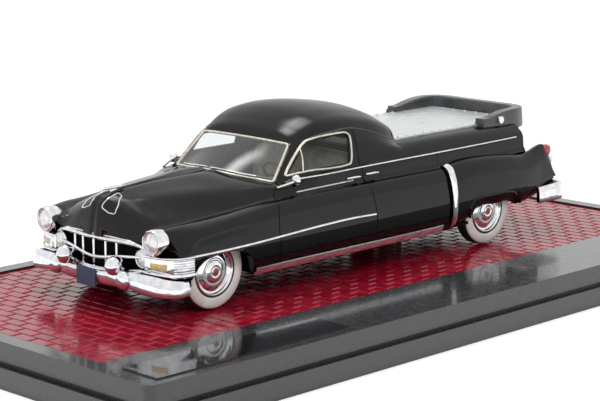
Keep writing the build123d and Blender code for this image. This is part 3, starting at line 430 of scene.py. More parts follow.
# Body: side, upper band, bonnet Columns: x, sill z, sill y, widest z, widest y, shoulder y and z on the
# first line; then y and z of roll, crest, valley, flank, edge and upper, and the z at the centre
body_rows = np.array([
    (15.6, 9.4, 21.6, 12.6, 22.4, 21.3, 16.7,
     20.6, 18.1, 18.3, 19.3, 14.6, 16.8, 11.8, 16.5, 8.8, 16.5, 4.6, 16.5, 16.5),
    (15, 9.3, 21.6, 12.6, 22.5, 21.4, 16.9,
     20.7, 18.45, 18.4, 19.65, 14.6, 17.8, 11.8, 18.3, 6.4, 20.2, 3.6, 21.2, 21.9),
    (14, 9.1, 21.7, 12.8, 22.7, 21.7, 17.3,
     20.9, 18.75, 18.5, 19.8, 14.7, 18.4, 12, 19.6, 5.4, 22.4, 3.4, 23.3, 24),
    (12.4, 8.9, 21.7, 13, 22.9, 22, 17.7,
     21.2, 19, 18.6, 19.95, 14.8, 19, 12.4, 20.6, 5.6, 23.4, 3.4, 24.3, 24.8),
    (9.5, 8.5, 21.8, 13.5, 23.1, 22.4, 18.2,
     21.5, 19.35, 18.8, 20.15, 15.2, 19.1, 12.8, 20.7, 6.9, 23.8, 3.6, 24.8, 25.3),
    (4, 7.6, 21.9, 14.2, 23.4, 22.7, 18.7,
     21.8, 19.65, 19, 20.3, 15.5, 19.3, 13, 20.8, 8.8, 24.05, 4.5, 25.25, 25.75),
    (-4, 6.9, 22, 14.5, 23.5, 22.8, 19.5,
     22, 20.4, 19.3, 20.8, 16.4, 20, 14.2, 21, 11, 24.2, 6, 25.55, 26.1),
    (-12, 6.7, 22.1, 14.5, 23.6, 22.9, 20.1,
     22.1, 21.1, 19.8, 21.6, 18, 21.2, 16.4, 22.3, 13.3, 24.3, 8, 25.8, 26.35),
    (-18, 6.7, 22.2, 14.5, 23.6, 22.9, 20.6,
     22.2, 21.6, 20.6, 21.9, 19.4, 22.3, 18.2, 23.4, 16.4, 24.6, 9.5, 25.7, 26.45),
    (-22, 6.7, 22.2, 14.5, 23.6, 22.9, 20.8,
     22.3, 21.8, 21.3, 22.2, 20.7, 22.4, 20.1, 23.5, 19, 24.4, 15.5, 25, 25.2),
    (-30, 6.7, 22.2, 14.5, 23.6, 22.9, 20.9,
     22.3, 21.85, 21.35, 22.25, 20.85, 22.7, 20.6, 24.2, 20.3, 25.7, 19.6, 26.1, 26.1),
    (-46, 6.7, 22.2, 14.5, 23.6, 22.9, 21,
     22.3, 21.85, 21.35, 22.25, 20.85, 22.7, 20.6, 24.2, 20.3, 25.7, 19.6, 26.1, 26.1),
    (-60, 6.7, 22.1, 14.5, 23.5, 22.8, 20.9,
     22.2, 21.8, 21.3, 22.2, 20.8, 22.65, 20.6, 24.2, 20.35, 25.75, 19.6, 27.2, 27.2),
    (-77, 6.7, 22, 14.5, 23.2, 22.5, 20.8,
     22, 21.7, 21.2, 22.1, 20.7, 22.6, 20.5, 24.1, 20.3, 25.8, 19.4, 27.4, 27.4),
    (-92, 6.7, 21.8, 14.5, 22.6, 22, 20.8,
     21.6, 21.6, 20.8, 22, 20.4, 22.5, 20.2, 24.1, 20, 25.8, 19.1, 27.4, 27.4),
    (-107, 6.7, 21, 14.5, 21.8, 21.2, 20.8,
     20.9, 21.5, 20.2, 22, 19.8, 22.5, 19.6, 24.1, 19.4, 25.9, 18.5, 27.2, 27.2),
])
SIDE_STEPS = np.array([0.0, 0.25, 0.5, 0.75, 1.0])
FOOT_STEPS = np.array([0.0, 0.07, 0.17, 0.5, 1.0])
CREST, EDGE, UPPER, CENTRE = 6, 9, 10, 11  # columns of a body row where one sheet ends and the next begins
NOSE_X = 15.6
NOSE_BOW = 1.9
CORNER_BACK = 3.6
LIP_DEPTH = 1.4
# Wheel arches, x and z, from rear to front
front_arch = np.array([(-9.3, 6.7), (-8.9, 8.4), (-8.3, 10.2), (-6.9, 12), (-3.6, 13.2), (0, 13.45),
                       (3.4, 13.1),
                       (6.8, 11.9), (8.3, 10.3), (9, 8.6), (9.4, 7.9)])
rear_arch = np.array([(-102.3, 9), (-101.9, 9.6), (-101.2, 10.2), (-99.5, 10.7), (-92.7, 10.9), (-86, 10.8),
                      (-84.4, 10.2), (-83.8, 9.4), (-83.4, 8.4)])


def low_edge(x, sill_z, arch):
    """The lower edge's height: the sill, or the wheel arch where it is higher."""
    inside = (x > arch[0, 0]) & (x < arch[-1, 0])
    top = glide(arch[:, 0], arch[:, 1], np.clip(x, arch[0, 0], arch[-1, 0]))
    return np.where(inside, np.maximum(top, sill_z), sill_z)


def bulge(z, sill_z, sill_y, wide_z, wide_y, top_y, top_z):
    """The side's y at a height: widest at one height, less the square of the way to sill or shoulder."""
    below = np.clip((wide_z - z) / (wide_z - sill_z), 0, None)
    above = np.clip((z - wide_z) / (top_z - wide_z), 0, None)
    return wide_y - (wide_y - sill_y) * below ** 2 - (wide_y - top_y) * above ** 2


def body_net(x):
    """Rows of section points at each x, five up the side from the lower edge and eight over the top.
    Towards the nose the middle bows ahead, less the square of y, and the corners fall back with the square
    of y past them."""
    r = glide(-body_rows[:, 0], body_rows[:, 1:], -x)
    low = low_edge(x, r[:, 0], front_arch)
    z = low[:, None] + (r[:, 5] - low)[:, None] * SIDE_STEPS
    y = bulge(z, *r[:, :6].T[..., None])
    y = np.column_stack([y, r[:, 6:17:2], 0 * x, -r[:, 16]])
    z = np.column_stack([z, r[:, 7:18:2], r[:, 18], r[:, 17]])
    bow = NOSE_BOW * np.clip((x - 2.0) / 13.6, 0, 1)[:, None] ** 2 * np.clip(1 - (y / 13.0) ** 2, 0, 1)
    corner = CORNER_BACK * np.clip((x - 6.0) / 9.6, 0, 1)[:, None] ** 1.5
    return np.stack([x[:, None] + bow - corner * np.clip((np.abs(y) - 15.5) / 7.0, 0, 1) ** 2, y, z], -1)


body_knots = knots_of(body_net(np.linspace(14, -60, 40)))
x_side = np.arange(NOSE_X, -77.2, -0.22)
x_band = np.concatenate([x_side, np.arange(x_side[-1] - 0.3, -107.3, -0.3)])
side_net, band_net = body_net(x_side), body_net(x_band)
side_sheet = across(side_net, body_knots, 0, CREST, 4)
band_sheet = across(band_net, body_knots, CREST, EDGE, 4)
side_lip = np.concatenate([side_sheet[:, :1] - [0, LIP_DEPTH, 0] + [0, 0, 0.1], side_sheet[:, :1]], 1)
bonnet_sheet = across(side_net[x_side > -22.6], body_knots, EDGE, CENTRE, 5)
belt_sheet = across(band_net[x_band < -21.0], body_knots, EDGE, UPPER, 3)

# Deck shoulders behind the cab. Columns: x, then y and z of the belt, shoulder, roll, edge and inner edge
deck_rows = np.array([
    (-54, 20.1, 25.6, 19.1, 27.2, 17.7, 28.3, 16, 28.9, 14.2, 29),
    (-80, 20.2, 25.8, 19.3, 27.5, 17.9, 28.7, 16.2, 29.15, 14.2, 29.2),
    (-95, 20, 25.8, 19, 27.5, 17.7, 28.6, 16, 29.05, 14.2, 29.1),
    (-107.2, 19.4, 25.9, 18.3, 27.3, 17.2, 28.4, 15.6, 28.8, 14.2, 28.8),
])
x_deck = np.arange(-54.0, -107.3, -0.5)
deck_net = glide(-deck_rows[:, 0], deck_rows[:, 1:], -x_deck).reshape(len(x_deck), 5, 2)
deck_net = np.concatenate([np.broadcast_to(x_deck[:, None, None], (len(x_deck), 5, 1)), deck_net], 2)
deck_sheet = across(deck_net, np.array([0, 1.9, 3.9, 5.8, 7.8]), 0, 4, 5)

# Face at the front, from the body's first row in to the grille's mouth: y and z of the mouth for each column
mouth_side = np.array([(15.2, 10.8), (15.6, 11.5), (15.7, 12.2), (15.7, 12.9), (15.6, 13.6), (15.2, 14.4),
                       (14.4, 15.1), (13, 15.7), (11.2, 16), (8.6, 16.1), (4.6, 16.1), (0, 16.1),
                       (-4.6, 16.1)])
mouth_low = np.array([(0, 9), (5, 9.2), (12.5, 9.8), (15.2, 10.8)])
MOUTH_BACK = 0.6
MOUTH_DEPTH = 2.4


def nose_x(y):
    """How far ahead the grille's bars stand at a y: a parabola."""
    return 17.3 - 3.0 * (y / 16.4) ** 2


def on_nose(flat):
    """Points, y and z, set on the grille's curve."""
    return np.column_stack([nose_x(flat[:, 0]), flat])


def funnel(outer, mouth):
    """Four rows: an outer line, half way in, the mouth's line behind the bars, and the same set back by its
    depth."""
    inner = on_nose(mouth) - [MOUTH_BACK, 0, 0]
    return np.stack([outer, (outer + inner) / 2, inner, inner - [MOUTH_DEPTH, 0, 0]])


low_outer = np.array([(16.2, 0, 8.6), (16, 6, 8.6), (14.6, 15, 8.8), side_sheet[0, 0]])
face_sheet = across(funnel(side_net[0], mouth_side), body_knots, 0, CENTRE - 1, 4)

# Tail panel: x at heights down it, bent ahead at the corners, and half widths at heights
tail_z = np.linspace(29.0, 10.2, 30)[:, None]
tail_y = np.linspace(-1, 1, 41)[None, :]
tail_x = glide([-30, -28.3, -25, -21.4, -17, -13, -10],
               [-105.8, -106.3, -107.4, -108.7, -109.9, -110.4, -108],
               -tail_z[:, 0])
tail_half = glide([-30, -28.3, -27, -25, -10], [15.4, 17.4, 18.4, 19.3, 19.6], -tail_z[:, 0])
tail_sheet = np.stack([tail_x[:, None] + 1.2 * np.abs(tail_y) ** 8 + 0 * tail_z, tail_half[:, None] * tail_y,
                       tail_z + 0 * tail_y], -1)

# Rear fenders
# Columns: x, foot z, foot y, widest y, crest y, crest z
fender_rows = np.array([
    (-71, 6.9, 22.6, 23.8, 21.6, 22.6), (-76, 7.4, 22.6, 23.9, 21.7, 23), (-81, 8.2, 22.7, 23.95, 21.7, 23.3),
    (-89, 9, 22.7, 23.95, 21.7, 23.2), (-98, 9.2, 22.5, 23.7, 21.4, 22.5), (-105.5, 9.5, 22, 23.1, 21, 21.7),
    (-109, 9.9, 21.6, 22.6, 20.8, 22.2), (-111.5, 10.4, 21.4, 22.2, 20.6, 22.8),
    (-114, 11.1, 21.2, 21.9, 20.4, 22.9),
    (-115.8, 11.7, 21.1, 21.7, 20.3, 21.2), (-117.4, 12.3, 21, 21.5, 20.2, 18.6),
    (-118.3, 13, 20.8, 21.2, 20.1, 17),
])
FENDER_WIDE_Z = 14.8
FENDER_INNER_Y = 17.6
TURN_UNDER = 0.9
TURN_HEIGHT = 1.9
x_fender = np.concatenate([np.arange(-71.0, -104.0, -0.22), np.arange(-104.0, -118.31, -0.3)])
foot_z, foot_y, wide_y, crest_y, crest_z = glide(-fender_rows[:, 0], fender_rows[:, 1:], -x_fender).T
low = low_edge(x_fender, foot_z, rear_arch)
shoulder_z = crest_z - 1.9
z = low[:, None] + (shoulder_z - low)[:, None] * FOOT_STEPS
y = bulge(z, foot_z[:, None], foot_y[:, None], FENDER_WIDE_Z, wide_y[:, None], wide_y[:, None] - 0.55,
          np.maximum(shoulder_z, 16)[:, None])
# The foot turns under with the square of the way down the last of its height
y -= TURN_UNDER * np.clip(1 - (z - low[:, None]) / TURN_HEIGHT, 0, 1) ** 2
inner_y = np.full(len(x_fender), FENDER_INNER_Y)
y = np.column_stack([y, wide_y - 1.15, crest_y, crest_y - 1.5, crest_y - 2.6, inner_y, inner_y, inner_y])
z = np.column_stack([z, crest_z - 0.65, crest_z, crest_z - 0.45, crest_z - 1.7, crest_z - 3.2,
                     (crest_z + foot_z) / 2, foot_z + 0.4])


def edge_curve(z):
    """The rear fender's front edge: x goes back from 72.6 behind the front axle at the top to 75.7 at the
    sill."""
    heights, behind = [-30.0, -22.7, -16.8, -12.0, -6.0], [-72.6, -73.6, -74.7, -75.2, -75.7]
    return glide(heights, behind, np.clip(-z, -30, -6).ravel()).reshape(z.shape)


lean = np.clip((x_fender + 83.0) / 12.0, 0, 1)[:, None]
fender_net = np.stack([x_fender[:, None] + (edge_curve(z) + 71.0) * lean, y, z], -1)
fender_sheet = across(fender_net, knots_of(fender_net), 0, 11, 4)
tail_centre = fender_sheet[-1].mean(0) - [0.9, 0, 0]
shrink = np.array([0.0, 0.25, 0.55, 0.8, 1.0])[:, None, None]
fender_end = (fender_sheet[-1][None] * (1 - shrink) + tail_centre * shrink
              - [0.5, 0, 0] * (shrink * (1 - shrink) * 2))
fender_front = np.stack([fender_sheet[0] - [0, 1.5, 0], fender_sheet[0]])
fender_lip = np.concatenate([fender_sheet[:, :1] - [0, LIP_DEPTH, 0], fender_sheet[:, :1]], 1)

middle, behind_nose = (-45, 0, 12), (0, 8, 14)
lower_body = join(skin(side_sheet, middle), skin(band_sheet, middle), skin(side_lip, (-45, 20, 30)),
                  skin(belt_sheet, middle), skin(deck_sheet, middle), skin(bonnet_sheet, (-5, 0, 10)),
                  skin(face_sheet, behind_nose), skin(funnel(low_outer, mouth_low), behind_nose))
rear_fender = join(skin(fender_sheet, (-95, 20, 15)), skin(fender_end, (-100, 20, 15)),
                   skin(fender_front, (-100, 22, 15)), skin(fender_lip, (-95, 22, 30)))

# Roof
# The two rows at the windscreen, from the foot over the wall and the drip line to the centre
roof_front = np.array([
    [(-21.6, 16.5, 24.5), (-25.1, 15.4, 28.3), (-28.3, 14.3, 32.3), (-28.4, 12, 32.6), (-28.4, 8.5, 32.85),
     (-28.4, 4.5, 33), (-28.4, 0, 33.05)],
    [(-22.3, 17.4, 24.7), (-25.9, 16.6, 28.5), (-29.3, 14.8, 32.6), (-29.2, 13.2, 33.35), (-29.2, 9.9, 34.2),
     (-29.2, 5.2, 34.65), (-29.2, 0, 34.75)],
])
# Columns: x, y and z of the foot, of the wall and of the drip line, then the dome's x and crown z
roof_rows = np.array([
    (-24.2, 18.5, 25, -27.8, 17.6, 29.3, -30.9, 15.8, 32.9, -31.6, 36.6),
    (-29.2, 19.6, 25.2, -32, 18.6, 29.9, -34.6, 16.8, 33.75, -35, 38.4),
    (-37.5, 19.7, 25.4, -39, 18.9, 29.9, -40, 17.4, 34.4, -40, 39.5),
    (-48, 19.7, 25.4, -48, 18.9, 29.7, -48, 17.3, 34, -48, 39.25),
    (-56, 19.7, 25.4, -56, 18.9, 28.7, -56, 17, 31.8, -56, 37.9),
    (-60, 19.7, 25.4, -60, 18.8, 28.2, -60, 16.2, 30.5, -60, 36.6),
    (-64, 19.6, 25.2, -64, 18.4, 27.6, -64, 14.4, 29.5, -64, 34.6),
    (-67.5, 19.2, 25, -67.5, 17.4, 27.2, -67.5, 10.4, 29.1, -67.5, 32.1),
    (-70, 18.8, 24.8, -70, 15.6, 26.8, -70, 6.6, 28.8, -70, 30.3),
    (-72, 18.4, 24.4, -72, 13.6, 26.2, -72, 4, 28.3, -72, 29),
])
# The dome at each row: an ellipse from the drip line to the crown
turns = np.radians([22.5, 45.0, 67.5, 90.0])
drip_y, drip_z, dome_x, crown_z = roof_rows[:, 7:].T[..., None]
dome = np.stack([dome_x + 0 * turns, drip_y * np.cos(turns), drip_z + (crown_z - drip_z) * np.sin(turns)], -1)
roof_net = np.concatenate([roof_front, np.concatenate([roof_rows[:, :9].reshape(-1, 3, 3), dome], 1)])
row_knots = np.concatenate([[0], np.cumsum(np.linalg.norm(np.diff(roof_net, axis=0), axis=2).max(1))])
roof_dense = glide(row_knots, roof_net, np.arange(0, row_knots[-1], 0.24))
half_roof = np.concatenate([roof_dense, (roof_dense * [1, -1, 1])[:, -2:-3:-1]], 1)
half_sheet = across(half_roof, knots_of(half_roof), 0, 6, 13)
roof_sheet = np.concatenate([half_sheet, (half_sheet * [1, -1, 1])[:, -2::-1]], 1)
left_wall = half_sheet[:, :40]

window_outline = [(-24.5, 26.6), (-30.6, 32.3), (-31.8, 33.1), (-33.9, 33.55), (-43.1, 33.7), (-44, 32.9),
                  (-43.1, 27.1), (-28.2, 27.2), (-25.4, 26.8)]
pane_outline = [(-23.9, 26.2), (-30.2, 32.7), (-31.6, 33.6), (-33.8, 34), (-43.4, 34.15), (-44.7, 33.2),
                (-43.7, 26.5), (-28.2, 26.6), (-25, 26.2)]
REAR_WINDOW = (-66.0, -60.0, 8.0)  # x behind, x ahead and half width
PANE_MARGIN = 0.6
PANE_INSET = 0.3
ROOF_SKIN = 0.7
in_cabin = (-45, 0, 22)


def within(outline, x, z):
    """True where a point is inside a closed outline: an odd number of its edges cross the line to its
    right."""
    o = np.asarray(outline, float)
    p = np.roll(o, -1, 0)
    x, z = x[..., None], z[..., None]
    spans = (o[:, 1] > z) != (p[:, 1] > z)
    rise = np.where(p[:, 1] == o[:, 1], 1e-9, p[:, 1] - o[:, 1])
    meets = x < (p[:, 0] - o[:, 0]) * (z - o[:, 1]) / rise + o[:, 0]
    return (spans & meets).sum(-1) % 2 == 1


def window_quads(shape, outline, margin):
    """Which quads lie in a door window, and which in the rear one, and the side of each, all by their
    centres."""
    x, y, z = shape[0][shape[1]].mean(1).T
    behind, ahead, half = REAR_WINDOW
    door = within(outline, x, z) & (np.abs(y) > 14.5)
    rear = (x > behind - margin) & (x < ahead + margin) & (np.abs(y) < half + margin) & (z > 29)
    return door, rear, np.sign(y)


def kept(shape, keep):
    """The quads of a shape that are marked to be kept, with the points that they use, facing out of the
    cabin."""
    used, quads = np.unique(shape[1][keep], return_inverse=True)
    return outward((shape[0][used], quads.reshape(-1, 4), []), in_cabin)


def normals_of(points):
    """Unit normals of a sheet at its points: its two directions' cross product, turned away from the
    cabin."""
    normal = unit(np.cross(np.gradient(points, axis=0), np.gradient(points, axis=1)))
    away = np.einsum("ijk,ijk->ij", normal, points - np.array(in_cabin))
    return normal * np.sign(away)[..., None]


roof_quads, glass_quads = grid(roof_sheet), grid(roof_sheet - normals_of(roof_sheet) * PANE_INSET)
in_door, in_rear, _ = window_quads(roof_quads, window_outline, 0.0)
door_zone, rear_zone, side_of = window_quads(glass_quads, pane_outline, PANE_MARGIN)
make("car_body", both_sides(lower_body), paint, "body_shell")
make("rear_fender_skins", both_sides(rear_fender), paint)
make("tail_panel", skin(tail_sheet, (-80, 0, 20)), paint)
# The roof's inner face takes the cabin trim, painted darker as shade inside the cabin
make("roof_skin", kept(roof_quads, ~(in_door | in_rear)), paint, thick=ROOF_SKIN,
     inner=shaded_cabin_trim)
for side_name, sign in (("left", 1), ("right", -1)):
    make("door_pane_" + side_name, kept(glass_quads, door_zone & (side_of == sign)), pane,
         "door_glass_" + side_name)
make("rear_pane", kept(glass_quads, rear_zone), pane, "rear_glass")


# Trim along the side
def strip(line, surface, width, rise):
    """Trim along a side view line, lying on a surface: a flat-backed band with a rounded face."""
    return sweep(on_side(surface, line), half_round(width / 2, rise, 9, -0.2), ACROSS)


side_points = np.concatenate([side_sheet.reshape(-1, 3), band_sheet.reshape(-1, 3)])
fender_points = fender_sheet[:, :33]
in_fender = (-95, 20, 15)
make("spear_trim", both_sides(strip([(11.6, 13.8), (7.4, 13.85), (-8, 14.1), (-16, 14.4), (-28.8, 14.9),
                                     (-40, 15.1),
                                     (-47.5, 14.9)], side_points, 0.7, 0.35)), chrome, "side_spears")
make("belt_trim", both_sides(strip([(-24, 25.7), (-60, 25.85), (-104, 25.9)], side_points, 0.4, 0.25)),
     chrome,
     "belt_trims")
make("name_strip", both_sides(strip([(-24.2, 23), (-42.7, 23.2)], side_points, 0.35, 0.22)), frame_metal,
     "door_strips")
sill_profile = rounded([(-0.85, -0.35), (0.85, -0.45), (0.85, -0.12), (-0.85, 0.25)], 0.1, 2)
sill_path = on_side(side_points, [(-9.6, 7.5), (-40, 7.5), (-73, 7.55)], 0.5)
make("rocker_trim", both_sides(sweep(sill_path, sill_profile, ACROSS)), chrome, "rocker_strips")
# The stone guard is the fender's own skin, raised between its edges by a power of a sine
guard_rows = fender_sheet[0:14, 0:26]
bow = 0.45 * np.sin(np.pi * np.linspace(0, 1, 14)[:, None, None]) ** 0.6 - 0.1
guard_skin = guard_rows + unit(normals_of(guard_rows) * [0.3, 1, 0.6]) * bow
make("stone_guard_trim", both_sides(skin(guard_skin, in_fender)), chrome, "stone_guards")
arch_line = [(-81.7, 9.4), (-82, 12), (-82.9, 13.1), (-84.8, 13.55), (-90.2, 13.6), (-95.9, 13.5),
             (-98.6, 13),
             (-99.9, 12.1), (-100.4, 11)]
make("rear_arch_lip", both_sides(strip(arch_line, fender_points, 0.8, 0.3)), paint)
drip_line = on_skin(left_wall,
                    [(-30.5, 15.9, 33.2), (-33.5, 16.7, 34.1), (-38, 17.4, 34.6), (-45.7, 17.4, 34.7),
                                (-49.6, 17.4, 34), (-54.9, 17.2, 32.2), (-58.4, 16.6, 30.8),
                     (-63, 15, 29.7)], 0.3)
make("roof_drip", both_sides(wire(drip_line, 0.14, ACROSS)), satin_black)
# Dark lines of the door's edges: front, rear, pillar, and the joint of body and rear fender
gaps = [wire(on_skin(surface, line, 0.25), 0.09, AHEAD) for surface, line in (
    (side_points, [(-20, 18.25, 24.85), (-18.8, 19.2, 22.9), (-17.4, 21.4, 21.8), (-16.6, 22.8, 20.2),
                   (-16.2, 23.5, 16.9), (-16.6, 23.4, 12.5), (-16.8, 22.6, 8.6)]),
    (side_points, [(-46.2, 20.3, 26), (-46.3, 20.6, 24.1), (-46.5, 21.9, 21.9), (-46.9, 22.8, 20),
                   (-47.4, 23.3, 17.9), (-48, 23.6, 15.1), (-48.3, 23.5, 12.5), (-48.4, 22.6, 8.6)]),
    (left_wall, [(-45.8, 17.3, 34.2), (-46, 18.7, 30.3), (-46.2, 19.6, 26.3)]))]
fender_gap = strip([(-72.9, 25.5), (-72.6, 23.2)], side_points, 0.16, 0.015)
make("door_gaps", both_sides(join(*gaps, fender_gap)), dull_black)

# Frames of the door windows and of the windscreen
door_frame = on_skin(left_wall,
                     [(-23.8, 17.4, 26.3), (-30.3, 16.3, 32.5), (-31.7, 16.5, 33.4), (-33.9, 17.1, 33.85),
                                 (-38.5, 17.55, 34.05), (-43.3, 17.7, 34), (-44.4, 17.9, 33.2),
                      (-43.5, 19.4, 26.8),
                                 (-28.2, 19.2, 26.9), (-25.2, 18.4, 26.5)], 0.3, 0.05, corner=0.5)
vent_post = wire(on_skin(left_wall, [(-29.6, 16.6, 32), (-28.9, 18.2, 29.6), (-28.2, 19.2, 27)], 0.3, 0.02),
                 0.17,
                 ACROSS, 10)
make("door_window_trim",
     both_sides(join(sweep(door_frame, half_round(0.24, 0.26, 7, -0.3), ACROSS, closed=True),
                                         vent_post)), frame_metal, "door_window_frames")
foot_line = mirrored([(-21.5, 16.1, 25), (-20.3, 12, 25.35), (-19.1, 9.9, 25.65), (-17.6, 7.2, 26.05),
                      (-16.5, 3.2, 26.45), (-16.4, 0, 26.55)])
head_line = mirrored([(-28.5, 14, 32.5), (-28.4, 10.4, 32.62), (-28.3, 8.4, 32.7), (-28.2, 6, 32.75),
                      (-28.15, 2.8, 32.8), (-28.1, 0, 32.8)])
screen_loop = rounded(np.concatenate([head_line, foot_line[::-1]]), 0.7, 3)
screen_path = np.concatenate([along([a, b], 0.6)[:-1] for a,
                              b in zip(screen_loop, np.roll(screen_loop, -1, 0))
                              if np.linalg.norm(a - b) > 1e-6])
screen_normal = unit(np.array([7.8, 0, 7.0]))
make("windscreen_trim", sweep(screen_path, half_round(0.27, 0.28, 7, -0.3), screen_normal, closed=True),
     frame_metal,
     "windscreen_frame")
pane_rows = head_line[None] + (foot_line - head_line)[None] * np.linspace(0, 1, 5)[:, None, None]
make("windscreen_pane", skin(pane_rows, in_cabin), screen_pane, "windscreen_glass")

# Wells, underside and door cards
WELL_RADIUS = 9.7
WELL_INNER_Y = 14.6


def well(axle_x, first, last):
    """Inner wall of a wheel arch: a drum over the tyre from one angle to another, and the disc that closes
    it."""
    a = np.radians(np.linspace(first, last, 40))
    x, z = axle_x + WELL_RADIUS * np.cos(a), AXLE_Z + WELL_RADIUS * np.sin(a)
    rows = [np.column_stack([x, np.full(40, y), z]) for y in (22.9, 18.0, WELL_INNER_Y)]
    centre = np.tile([axle_x, WELL_INNER_Y, AXLE_Z], (40, 1))
    return grid(np.stack(rows + [rows[-1] * 0.5 + centre * 0.5, centre]))


# Blocks under the car: x from and to, half width, z from and to
under = [block(x0, x1, -half, half, z0, z1) for x0, x1, half, z0, z1 in (
    (9.4, 15, 20.5, 7.9, 8.6), (-9.6, 9.4, 14.4, 7.2, 8), (-83.4, -9.6, 21.6, 6.9, 7.6),
    (-102.4, -83.4, 14.4, 7.2, 8.4), (-110, -102.4, 19.6, 10.2, 10.8))]
make("wells_and_underside", join(both_sides(join(well(0.0, -8, 188), well(-WHEELBASE, -1, 175))), *under),
     dull_black)
# Door cards and cabin walls take the cabin trim, painted darker as shade inside the cabin
card = prism([(-23.5, 10), (-23.5, 25.6), (-52, 25.6), (-52, 10)], 18.7, 19.1)
make("cabin_walls", join(both_sides(card), block(-52.6, -52.0, -18.3, 18.3, 10, 28.3),
                         block(-24.0, -23.4, -18.8, 18.8, 10, 25.2),
                         block(-58.0, -52.0, -15.5, 15.5, 28.6, 29.2)),
     shaded_cabin_trim)

# Wheels. Profiles are distance from the car's centre plane and radius
tyre = [(15.95, 5.35), (15.9, 6.2), (15.95, 7.1), (16.3, 8.1), (16.9, 8.5), (17.3, 8.56), (17.35, 8.45),
        (17.45, 8.45), (17.5, 8.57), (17.9, 8.58), (17.95, 8.47), (18.05, 8.47), (18.1, 8.58), (18.5, 8.57),
        (18.55, 8.45), (18.65, 8.45), (18.7, 8.54), (19.2, 8.46), (19.5, 8.3), (19.6, 8.1), (19.7, 7),
        (19.8, 6),
        (19.88, 5.8), (19.7, 5.35)]
white_band = [(19.4, 8.3), (19.6, 8.27), (19.8, 8.1), (19.95, 7.8), (20.06, 7.4), (20.12, 6.9), (20.1, 6.4),
              (20, 6), (19.86, 5.85), (19.6, 5.8)]
disc = [(17.2, 5.36), (19.6, 5.45), (19.85, 5.42), (19.92, 5.25), (19.82, 5.08), (19.45, 4.85), (19.3, 4.5),
        (19.42, 4.05), (19.62, 3.5), (19.7, 3.05), (19.62, 2.75), (19.66, 2.55), (19.9, 2.45), (20.02, 2.2),
        (20.12, 1.65), (20.16, 1.4), (20.1, 1.2), (20.08, 1.1), (20.16, 1), (20.2, 0.9), (20.2, 0.8)]
hub_cap = [(20.2, 0.8), (20.23, 0.6), (20.26, 0.3), (20.26, 0)]
for end, x in (("front", 0.0), ("rear", -WHEELBASE)):
    for piece, profile, count, material, solid, slot in (
            ("_tyre_rubber", tyre, 96, rubber, "_tyres", "tyre"),
            ("_whitewalls", white_band, 96, whitewall, "", "tyre"),
            ("_wheel_discs", disc, 96, chrome, "_wheels", "chrome"),
            ("_hub_badges", hub_cap, 48, red_enamel, "", "red_lens")):
        turned = pair(lambda way: lathe(profile, (x, 0, AXLE_Z), (0, way, 0), count), 1)
        make(end + piece, turned, material, end + solid if solid else "", end + "_axle_set")

# Front and rear bumpers
FACE_STEPS = np.array([-1.0, -0.97, -0.9, -0.75, -0.5, 0.0, 0.5, 0.75, 0.9, 0.97, 1.0])
BLADE_THICK = 0.7


def blade(points, crown, lean):
    """A bumper blade. A half path with plan x, y and the low and high edges there is mirrored; at each
    station the face bows out by the crown, less the fourth power of the way to an edge, and tips back at
    the top by the lean."""
    run = along(mirrored(points), 0.5)
    ahead = unit(np.gradient(run[:, :2], axis=0))
    out = np.column_stack([-ahead[:, 1], ahead[:, 0]])
    out *= np.sign((out * (run[:, :2] - run[:, :2].mean(0))).sum(1).mean())
    tip = np.interp(np.abs(run[:, 1]), *lean)[:, None]
    depth = crown * (1 - np.abs(FACE_STEPS) ** 4) - tip * (FACE_STEPS + 1) / 2
    depth = np.column_stack([depth, -BLADE_THICK - tip, 0 * tip - BLADE_THICK])
    s = np.concatenate([FACE_STEPS, [0.95, -0.95]])
    tall, mid = (run[:, 3:] - run[:, 2:3]) / 2, (run[:, 3:] + run[:, 2:3]) / 2
    return tube(np.stack([run[:, :1] + out[:, :1] * depth, run[:, 1:2] + out[:, 1:] * depth,
                          mid + tall * s], -1))


def guard(x, y, low, high, wide, deep):
    """An upright bumper guard: rounded rectangles stacked up its height, drawn in towards both ends."""
    t = np.linspace(0, 1, 15)[:, None, None]
    girth = (1 - (2 * t - 1) ** 6) ** 0.5 * 0.98 + 0.02
    ring = ring_of(28, 1.0, 1.0, 0.55)[None]
    points = np.concatenate([x + ring[..., :1] * deep / 2 * girth, y + ring[..., 1:] * wide / 2 * girth,
                             low + (high - low) * (t + 0 * ring[..., :1])], -1)
    return outward(grid(points, wrap_v=True), (x, y, (low + high) / 2))


# Columns of both blades: x, y, and the z of the low and high edges
front_blade = blade([(10.6, 23.4, 5.7, 8.9), (13.4, 23.8, 5.75, 9.3), (15.6, 23.1, 5.85, 9.7),
                     (17.3, 20.9, 6, 10.1),
                     (18.1, 17.5, 6.3, 10.3), (18.5, 13.2, 6.7, 10.35), (18.65, 10, 6.7, 10.1),
                     (18.75, 6, 6.5, 9.5),
                     (18.8, 0, 6.4, 9.4)], 0.42, ([0, 7, 10, 14, 24], [-0.5, -0.4, 0.2, 0.5, 0.5]))
rear_blade = blade([(-109.6, 23, 8.6, 12.6), (-114, 23.3, 8.6, 12.9), (-118, 23.2, 8.6, 12.9),
                    (-119.8, 22.4, 8.6, 12.9), (-120.7, 20.5, 8.6, 12.9), (-121.1, 16, 8.6, 12.9),
                    (-121.3, 8, 8.6, 12.9), (-121.3, 0, 8.6, 12.9)], 0.35, ([0, 24], [0.3, 0.3]))
bullet = [(-0.6, 0), (-0.6, 1.7), (0.2, 2.02), (1, 2.12), (1.7, 2), (2.3, 1.66), (2.8, 1.1), (3.1, 0.5),
          (3.2, 0)]
make("front_bumper_chrome", join(front_blade, pair(lambda y: lathe(bullet, (17.6, y, 11.1), AHEAD, 56), 8.2),
                                 pair(lambda y: ball((18.7, y, 8.5), (1.35, 1.9, 2.1)), 11.4),
                                 pair(lambda y: block(9.5, 18.0, y - 0.8, y + 0.8, 6.7, 7.9), 9)),
     chrome, "front_bumper")
